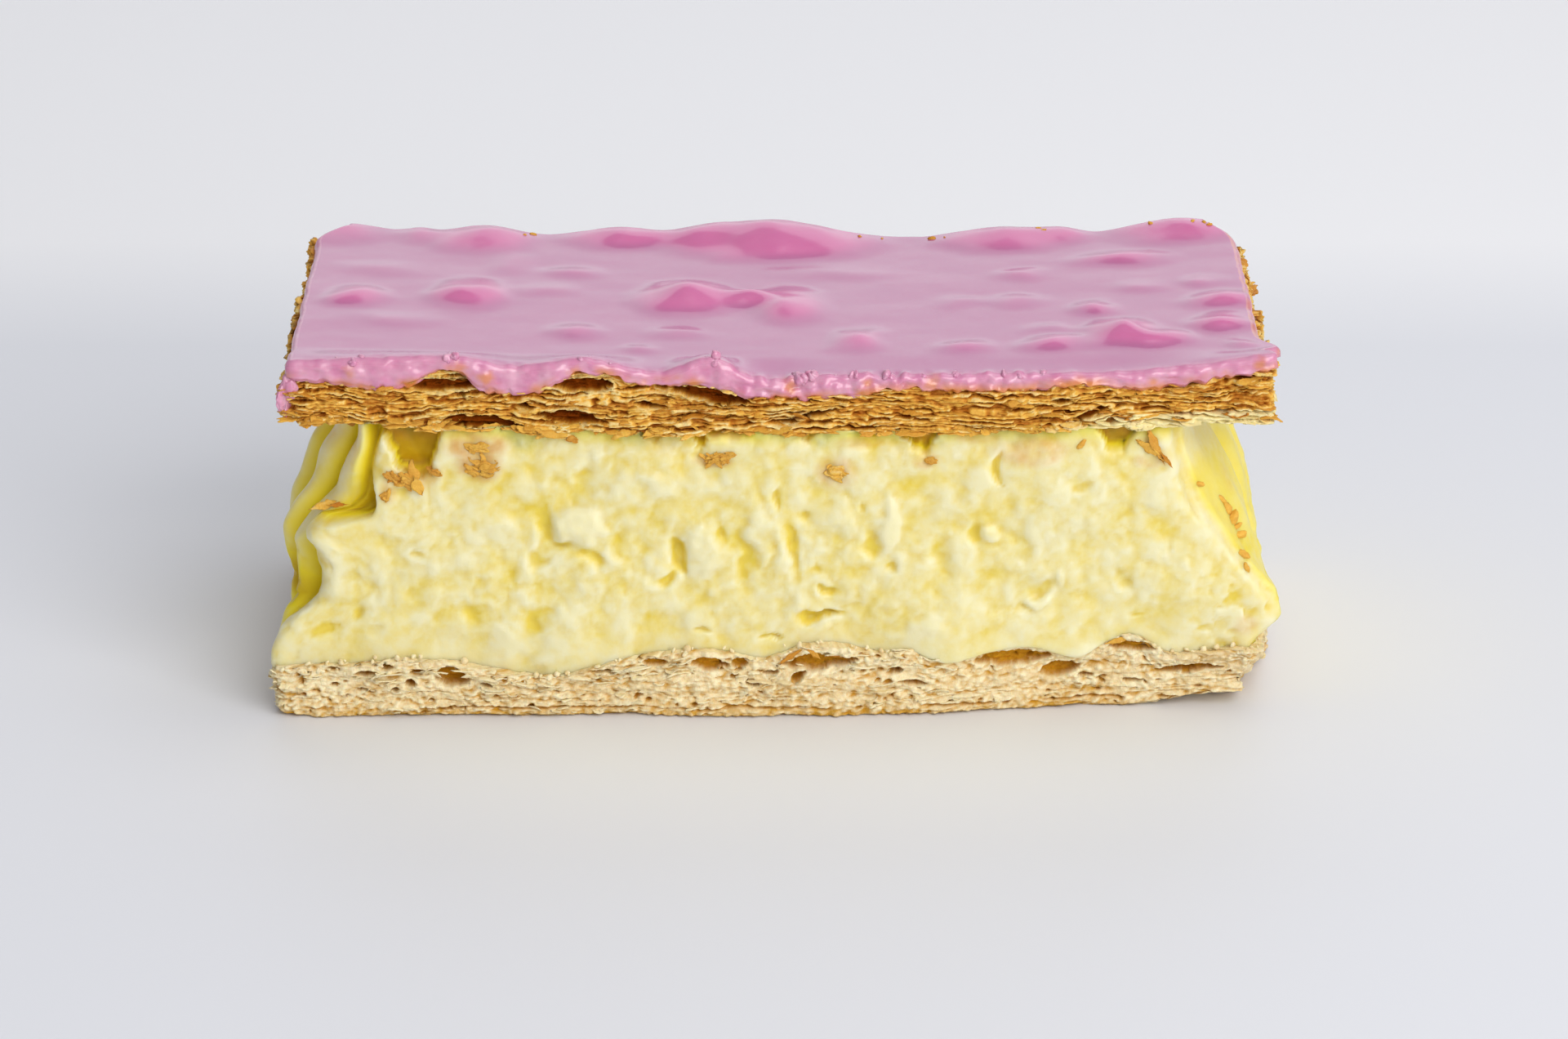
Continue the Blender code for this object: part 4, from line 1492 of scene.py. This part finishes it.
# Flakes that fell on the front of the custard, in millimetres: X, Z, half sizes, turn in
# degrees, how brown, how far they stand off, and how many bits they broke into.
TORN_FLAKES = (
    (-35.4, 32.0, 2.4, 1.8, 12, 0.4, -0.1, 18),
    (-27.0, 36.2, 2.7, 0.7, -3, 0.1, 0.8, 4),
    (-36.0, 34.2, 1.9, 0.8, -8, 0.2, 0.2, 16),
    (-43.6, 30.7, 2.6, 1.0, 86, 0.1, 0.9, 1),
    (-43.0, 29.6, 1.5, 0.9, 62, 0.25, 0.5, 1),
    (-44.4, 30.0, 1.6, 1.0, 20, 0.3, 0.3, 6),
    (-46.0, 30.6, 1.4, 0.7, 30, 0.65, 0.3, 12),
    (-47.0, 28.2, 0.7, 0.9, 0, 0.45, 0.1, 10),
    (-41.0, 31.2, 1.2, 0.5, 15, 0.6, 0.3, 9),
    (-54.2, 25.6, 2.6, 0.9, -8, 0.05, 0.5, 1),
    (-53.0, 25.9, 1.5, 0.4, -14, 0.7, 0.7, 1),
    (-51.4, 35.4, 0.9, 0.6, 0, 0.8, 0.2, 2),
    (-24.7, 35.3, 1.1, 0.5, 0, 0.6, 0.2, 4),
    (-7.2, 32.8, 2.6, 0.8, -10, 0.45, 0.1, 22),
    (7.0, 31.0, 1.8, 1.4, 20, 0.12, -0.1, 10),
    (45.0, 34.6, 3.4, 0.7, 50, 0.7, 0.5, 1),
    (44.2, 34.2, 2.6, 0.7, 44, 0.15, 0.3, 1),
    (46.4, 32.8, 1.5, 0.35, 52, 0.8, 0.7, 1),
    (18.3, 32.6, 0.8, 0.6, 0, 0.6, 0.3, 3),
    (-44.4, 36.8, 1.6, 0.6, 4, 0.05, 0.6, 2),
    (1.5, 7.9, 2.1, 0.4, -33, 0.55, 0.2, 1),
    (4.4, 8.2, 1.3, 0.4, 45, 0.55, 0.2, 1),
    (7.3, 7.7, 2.2, 0.35, -8, 0.5, 0.2, 1),
    (41.3, 8.8, 2.3, 0.45, -6, 0.5, 0.2, 1),
    (45.0, 8.2, 1.8, 0.4, 42, 0.55, 0.2, 1),
)

# Where crumbs of icing pile up along the lip, in millimetres: X and reach.
SPIKES = (
    (3.0, 1.1),
    (2.6, 0.7),
    (13.2, 0.7),
    (3.4, 1.2),
    (-7.4, 1.2),
    (20.0, 3.0),
    (-39.0, 1.4),
    (-22.0, 2.4),
    (3.0, 0.9),
    (30.0, 6.0),
    (-51.0, 1.6),
    (8.0, 1.4),
)

# Icing that ran down the lid at its left end, and big crumbs on the custard, in millimetres:
# X, Z and size.
DRIPS = ((-58.2, 41.7, 1.2), (-58.8, 40.4, 1.2), (-58.5, 39.1, 0.9))
CRUMBS = (
    (50.6, 28.6, 0.5),
    (53.6, 25.8, 0.5),
    (54.4, 24.4, 0.7),
    (55.0, 23.2, 0.9),
    (55.4, 22.2, 0.5),
    (55.8, 21.2, 0.7),
    (56.2, 19.6, 0.6),
    (56.6, 18.0, 0.5),
    (-46.6, 28.4, 0.5),
    (36.2, 34.6, 0.5),
)

# Where crumbs gather behind the icing, in millimetres along X.
REAR_PLACES = (-33, 12, 20, 34, 48, 52, 54)

# Torn flakes on the custard are laid on it no higher than this, in millimetres, under the lid.
UNDER_LID = 35.2


def front_of(x, z, *names):
    """Where the front of the foremost of some pieces is, in Y, or None beside them."""
    found = []
    for name in names:
        hit, spot, *_ = bpy.data.objects[name].ray_cast(Vector((x, -0.1, z)), Vector((0, 1, 0)))
        found += [spot.y] * hit
    return min(found, default=None)


def top_of(name, x, y):
    """How high a piece is there, or None beside it."""
    piece = bpy.data.objects[name]
    hit, spot, *_ = piece.ray_cast(Vector((x, y, 0.1)), Vector((0, 0, -1)))
    return spot.z if hit else None


class PASTRY_OT_flakes(bpy.types.Operator):
    """Strew loose plies along the cut edges of both sheets, and hang the torn ones"""

    bl_idname = "pastry.flakes"
    bl_label = "Flakes"

    def execute(self, context):
        settings = context.scene.pastry
        chance = np.random.default_rng(7)
        base = Solid("pastry_base")
        brown, pale, pink = Heap(), Heap(), Heap()
        self.loose_plies(chance, settings, brown, pale, base)
        self.torn_flakes(chance, brown)
        self.custard_crumbs(brown)
        self.base_crumbs(chance, settings.base_crumbs, pale, base)
        self.rear_crumbs(chance, settings.rear_crumbs, brown)
        self.drips(pink)
        self.lip_crumbs(chance, settings.icing_crumbs, pink)
        finishes = bpy.data.materials
        brown.piece("lid_flakes", finishes["brown_pastry"], "brown_crust")
        pale.piece("base_flakes", finishes["pale_pastry"], "pale_crust")
        pink.piece("icing_crumbs", finishes["pink_icing"], "fondant_pink", lip=1.0)
        return {"FINISHED"}

    def loose_plies(self, chance, settings, brown, pale, base):
        """Loose plies all round: on each wall, drooping under the lid, and along the base's rim."""
        lid = Solid("pastry_lid")
        for heap, name, solid, count, band, bake, droop in (
            (brown, "lid_plies", lid, settings.lid_flakes, (0.1, 1.0), (0.2, 0.9), 0),
            (brown, "lid_plies", lid, settings.lid_flakes, (-0.1, 0.12), (0.0, 0.5), 24),
            (pale, "base_crumb", base, settings.base_flakes, (0.1, 0.9), (0.0, 0.3), 0),
            (pale, "base_crumb", base, settings.base_flakes, (0.85, 1.2), (-0.1, 0.2), -15),
        ):
            places = wall_places(bpy.data.objects[name], solid, chance, count, band)
            for number, (point, way, turn) in enumerate(places):
                out = chance.uniform(-0.35, 0.25) * MM
                place = point + np.array([*way, 0]) * out
                sizes = chance.uniform(0.5, 2.2) * MM, chance.uniform(0.4, 0.9) * MM
                thickness = chance.uniform(0.1, 0.2) * MM
                form = thin_sheet(*sizes, thickness, number, curl=chance.normal(0, 0.12))
                tilt = chance.normal(droop, 12), chance.normal(0, 7), turn + chance.normal(0, 14)
                unbaked = 0.9 * (droop > 0) * eased(point[0], 30 * MM, 38 * MM)
                heap.add(form, place, tilt, chance.uniform(*bake) - unbaked)

    def torn_flakes(self, chance, brown):
        """The larger flakes on the custard, whole or broken into bits."""
        for number, (x, z, half_x, half_z, turn, bake, out, bits) in enumerate(TORN_FLAKES):
            angle = math.radians(turn)
            taper, loose = (0.85, 8) if bits == 1 else (0.4, 24)
            for bit in range(bits):
                size = min(1.0, chance.uniform(1.4, 2.4) / bits**0.5)
                along, across = chance.uniform(-1, 1, 2) * (1 - size)
                spot_x = x + along * half_x * math.cos(angle) + across * half_z * math.sin(angle)
                spot_z = z - along * half_x * math.sin(angle) + across * half_z * math.cos(angle)
                sizes = size * half_x * MM, max(size * half_z, 0.3) * MM
                seed = 500 + 60 * number + bit
                form = thin_sheet(*sizes, 0.14 * MM, seed, curl=0.08, taper=taper)
                at = spot_x * MM, min(spot_z, UNDER_LID) * MM
                front = front_of(*at, "custard_curds", "base_crumb")
                if front is None:
                    continue
                place = spot_x * MM, front - out * chance.uniform(0.4, 1.2) * MM, spot_z * MM
                tilt = 80 + chance.normal(0, loose), turn + chance.normal(0, loose), 0
                brown.add(form, place, tilt, bake + chance.uniform(-0.2, 0.2))

    def custard_crumbs(self, brown):
        """The few big crumbs on the custard."""
        for number, (x, z, size) in enumerate(CRUMBS):
            front = front_of(x * MM, z * MM, "custard_curds")
            if front is None:
                continue
            form = crumb_form(size * MM * np.array((1.4, 0.7, 0.6)), number, rounds=3)
            brown.add(form, (x * MM, front, z * MM), (20 * number, 35 * number, 0), 0.15)

    def base_crumbs(self, chance, count, pale, base):
        """Crumbs along the base's upper edge."""
        for number in range(count):
            x = chance.uniform(base.low[0] + 2 * MM, base.high[0] - 2 * MM)
            z = BASE_TOP(x) + chance.normal(-0.3, 0.45) * MM
            size = chance.uniform(0.12, 0.3) * MM
            front = front_of(x, BASE_TOP(x) - 1.0 * MM, "base_crumb")
            if front is None:
                continue
            place = x, front + chance.uniform(0.1, 0.8) * MM, z
            form = crumb_form(size * chance.uniform(0.6, 1.9, 3), 200 + number)
            pale.add(form, place, chance.uniform(0, 360, 3), chance.uniform(-0.1, 0.4))

    def rear_crumbs(self, chance, count, brown):
        """Crumbs of the lid that lie on the icing's rear edge."""
        for number in range(count):
            x = chance.choice(REAR_PLACES) * MM + chance.normal(0, 1.6) * MM
            y = HALF_Y - chance.uniform(0.9, 2.6) * MM
            level = top_of("icing_sheet", x, y)
            if level is None:
                continue
            size = chance.uniform(0.14, 0.34) * MM
            form = crumb_form(size * chance.uniform(0.6, 2.2, 3) * (1, 1, 0.5), 500 + number)
            brown.add(form, (x, y, level), chance.uniform(-20, 20, 3), chance.uniform(0.3, 0.8))

    def drips(self, pink):
        """Flat smears of icing on the lid's left end."""
        for number, (x, z, size) in enumerate(DRIPS):
            place = x * MM, front_of(x * MM, z * MM, "lid_plies"), z * MM
            form = crumb_form(size * MM * np.array((0.9, 0.35, 1.3)), 30 + number, rounds=4)
            pink.add(form, place, (0, 0, 40 * number), 0.5)

    def lip_crumbs(self, chance, count, pink):
        """Broken icing piled up along the lip."""
        for number in range(count):
            at_x, reach = SPIKES[number % len(SPIKES)]
            aside = chance.uniform(-1, 1)
            x = (at_x + aside * reach) * MM
            y = -HALF_Y + chance.uniform(0.2, 1.2) * MM
            size = chance.uniform(0.2, 0.5) * MM
            rise = chance.uniform(-0.6, 0.5) * (1 - abs(aside)) * min(1, 1.2 / reach)
            form = crumb_form(size * chance.uniform(0.7, 1.6, 3), 60 + number, rounds=3)
            place = x, y, LIP_TOP(x) + (rise - 0.2) * MM
            pink.add(form, place, chance.uniform(0, 360, 3), chance.uniform(0, 1))


# Stage --------------------------------------------------------------------------------------


class StageSettings(bpy.types.PropertyGroup):
    key: light_setting("Key light", "Light from the front right", 10.0)
    overhead: light_setting("Overhead light", "Light from above", 1.6)
    window: light_setting("Window light", "Light from behind", 2.8)
    fill: light_setting("Room light", "Even light from everywhere", 0.34, "NONE")
    table: colour_setting("Table", "The table under the slice", 0.81, 0.82, 0.87)
    far_table: colour_setting("Far table", "The table behind the slice", 0.97, 0.965, 0.99)


# How far behind the slice the table turns from its own colour to the far one, in metres.
FAR_FROM, FAR_TO = 0.115, 0.165

# The lights look at the slice's middle. Each has a place and a size in metres, and a colour.
LIGHTS = {
    "key": ((0.50, -0.84, 0.62), 0.9, (1.0, 0.985, 0.96)),
    "overhead": ((0.25, 0.1, 0.9), 0.6, (1.0, 1.0, 1.0)),
    "window": ((0.0, 1.1, 0.56), 1.0, (0.96, 0.98, 1.0)),
}
LIT_PLACE = (0, 0, 0.03)
ROOM_COLOUR = (0.93, 0.95, 1.0, 1.0)

# The camera's place in millimetres, how far it looks down in degrees, and its lens.
CAMERA_PLACE = (0.75, -665.67, 259.12)
LOOKS_DOWN = 20.12
LENS = 130.3


class PASTRY_OT_stage(bpy.types.Operator):
    """Set the table with its soft light, and the camera"""

    bl_idname = "pastry.stage"
    bl_label = "Table and light"

    def execute(self, context):
        settings = context.scene.stage
        self.table(settings)
        self.lights(context, settings)
        self.camera(context)
        return {"FINISHED"}

    def table(self, settings):
        """A plain table that curves up behind the slice, in metres."""
        half_width, front, bend, radius, steps, slope = 2.0, -1.6, 0.6, 0.28, 14, 55
        # Strips keep the bend's smooth shading away from the slice.
        section = [(front, 0.0), (-0.4, 0.0), (0.0, 0.0), (bend - 0.05, 0.0)]
        for step in range(steps + 1):
            turn = step / steps * math.radians(slope)
            section.append((bend + radius * math.sin(turn), radius * (1 - math.cos(turn))))
        points = [(x, y, z) for y, z in section for x in (-half_width, half_width)]
        faces = [(2 * i, 2 * i + 1, 2 * i + 3, 2 * i + 2) for i in range(len(section) - 1)]
        mesh = bpy.data.meshes.new("table")
        mesh.from_pydata(points, [], faces)
        mesh.shade_smooth()
        mix = Recipe("table_top", Roughness=0.6)
        depth = mix.node("ShaderNodeSeparateXYZ", 1, Vector=mix.place())
        far = mix.spread(depth, FAR_FROM, FAR_TO)
        mix.set(Base_Color=mix.blend(far, settings.table, settings.far_table))
        mesh.materials.append(mix.finish)
        made = bpy.data.objects.new("table", mesh)
        bpy.context.scene.collection.objects.link(made)

    def lights(self, context, settings):
        """Even light from the room, and three soft lamps."""
        world = bpy.data.worlds.new("room")
        world.use_nodes = True
        glow = world.node_tree.nodes["Background"]
        glow.inputs["Color"].default_value = ROOM_COLOUR
        glow.inputs["Strength"].default_value = settings.fill
        context.scene.world = world
        for name, (place, size, colour) in LIGHTS.items():
            light = bpy.data.lights.new(name, "AREA")
            light.size = size
            light.energy = getattr(settings, name)
            light.color = colour
            lamp = bpy.data.objects.new(name, light)
            lamp.location = place
            aim = Vector(LIT_PLACE) - Vector(place)
            lamp.rotation_euler = aim.to_track_quat("-Z", "Y").to_euler()
            context.scene.collection.objects.link(lamp)
        context.scene.view_settings.view_transform = "Standard"

    def camera(self, context):
        """The camera, in front and above."""
        lens = bpy.data.cameras.new("camera")
        lens.lens = LENS
        camera = bpy.data.objects.new("camera", lens)
        camera.location = [number * MM for number in CAMERA_PLACE]
        camera.rotation_euler = (math.radians(90 - LOOKS_DOWN), 0, 0)
        context.scene.collection.objects.link(camera)
        context.scene.camera = camera


# Panel --------------------------------------------------------------------------------------


class PASTRY_PT_panel(bpy.types.Panel):
    """Buttons and settings for each piece, in the order they are made"""

    bl_label = "Mille feuille"
    bl_idname = "PASTRY_PT_panel"
    bl_space_type = "VIEW_3D"
    bl_region_type = "UI"
    bl_category = "Pastry"

    def draw(self, context):
        for operator in OPERATORS:
            self.layout.operator(operator.bl_idname)
        for key in SETTINGS:
            box = self.layout.box()
            settings = getattr(context.scene, key)
            for name in type(settings).__annotations__:
                box.prop(settings, name)


SETTINGS = {
    "pastry": PastrySettings,
    "custard": CustardSettings,
    "icing": IcingSettings,
    "stage": StageSettings,
}
OPERATORS = (
    PASTRY_OT_stage,
    PASTRY_OT_base,
    PASTRY_OT_custard,
    PASTRY_OT_lid,
    PASTRY_OT_icing,
    PASTRY_OT_flakes,
)
CLASSES = (*SETTINGS.values(), *OPERATORS, PASTRY_PT_panel)


def register():
    for each in CLASSES:
        bpy.utils.register_class(each)
    for key, group in SETTINGS.items():
        setattr(bpy.types.Scene, key, PointerProperty(type=group))


def unregister():
    for key in SETTINGS:
        delattr(bpy.types.Scene, key)
    for each in reversed(CLASSES):
        bpy.utils.unregister_class(each)


def main():
    loaded = {*frame["nodes"].values(), *frame["bodies"].values()}
    for old in set(bpy.data.objects) - loaded:
        bpy.data.objects.remove(old)
    register()
    for operator in OPERATORS:
        group, name = operator.bl_idname.split(".")
        getattr(getattr(bpy.ops, group), name)()


if __name__ == "__main__":
    main()
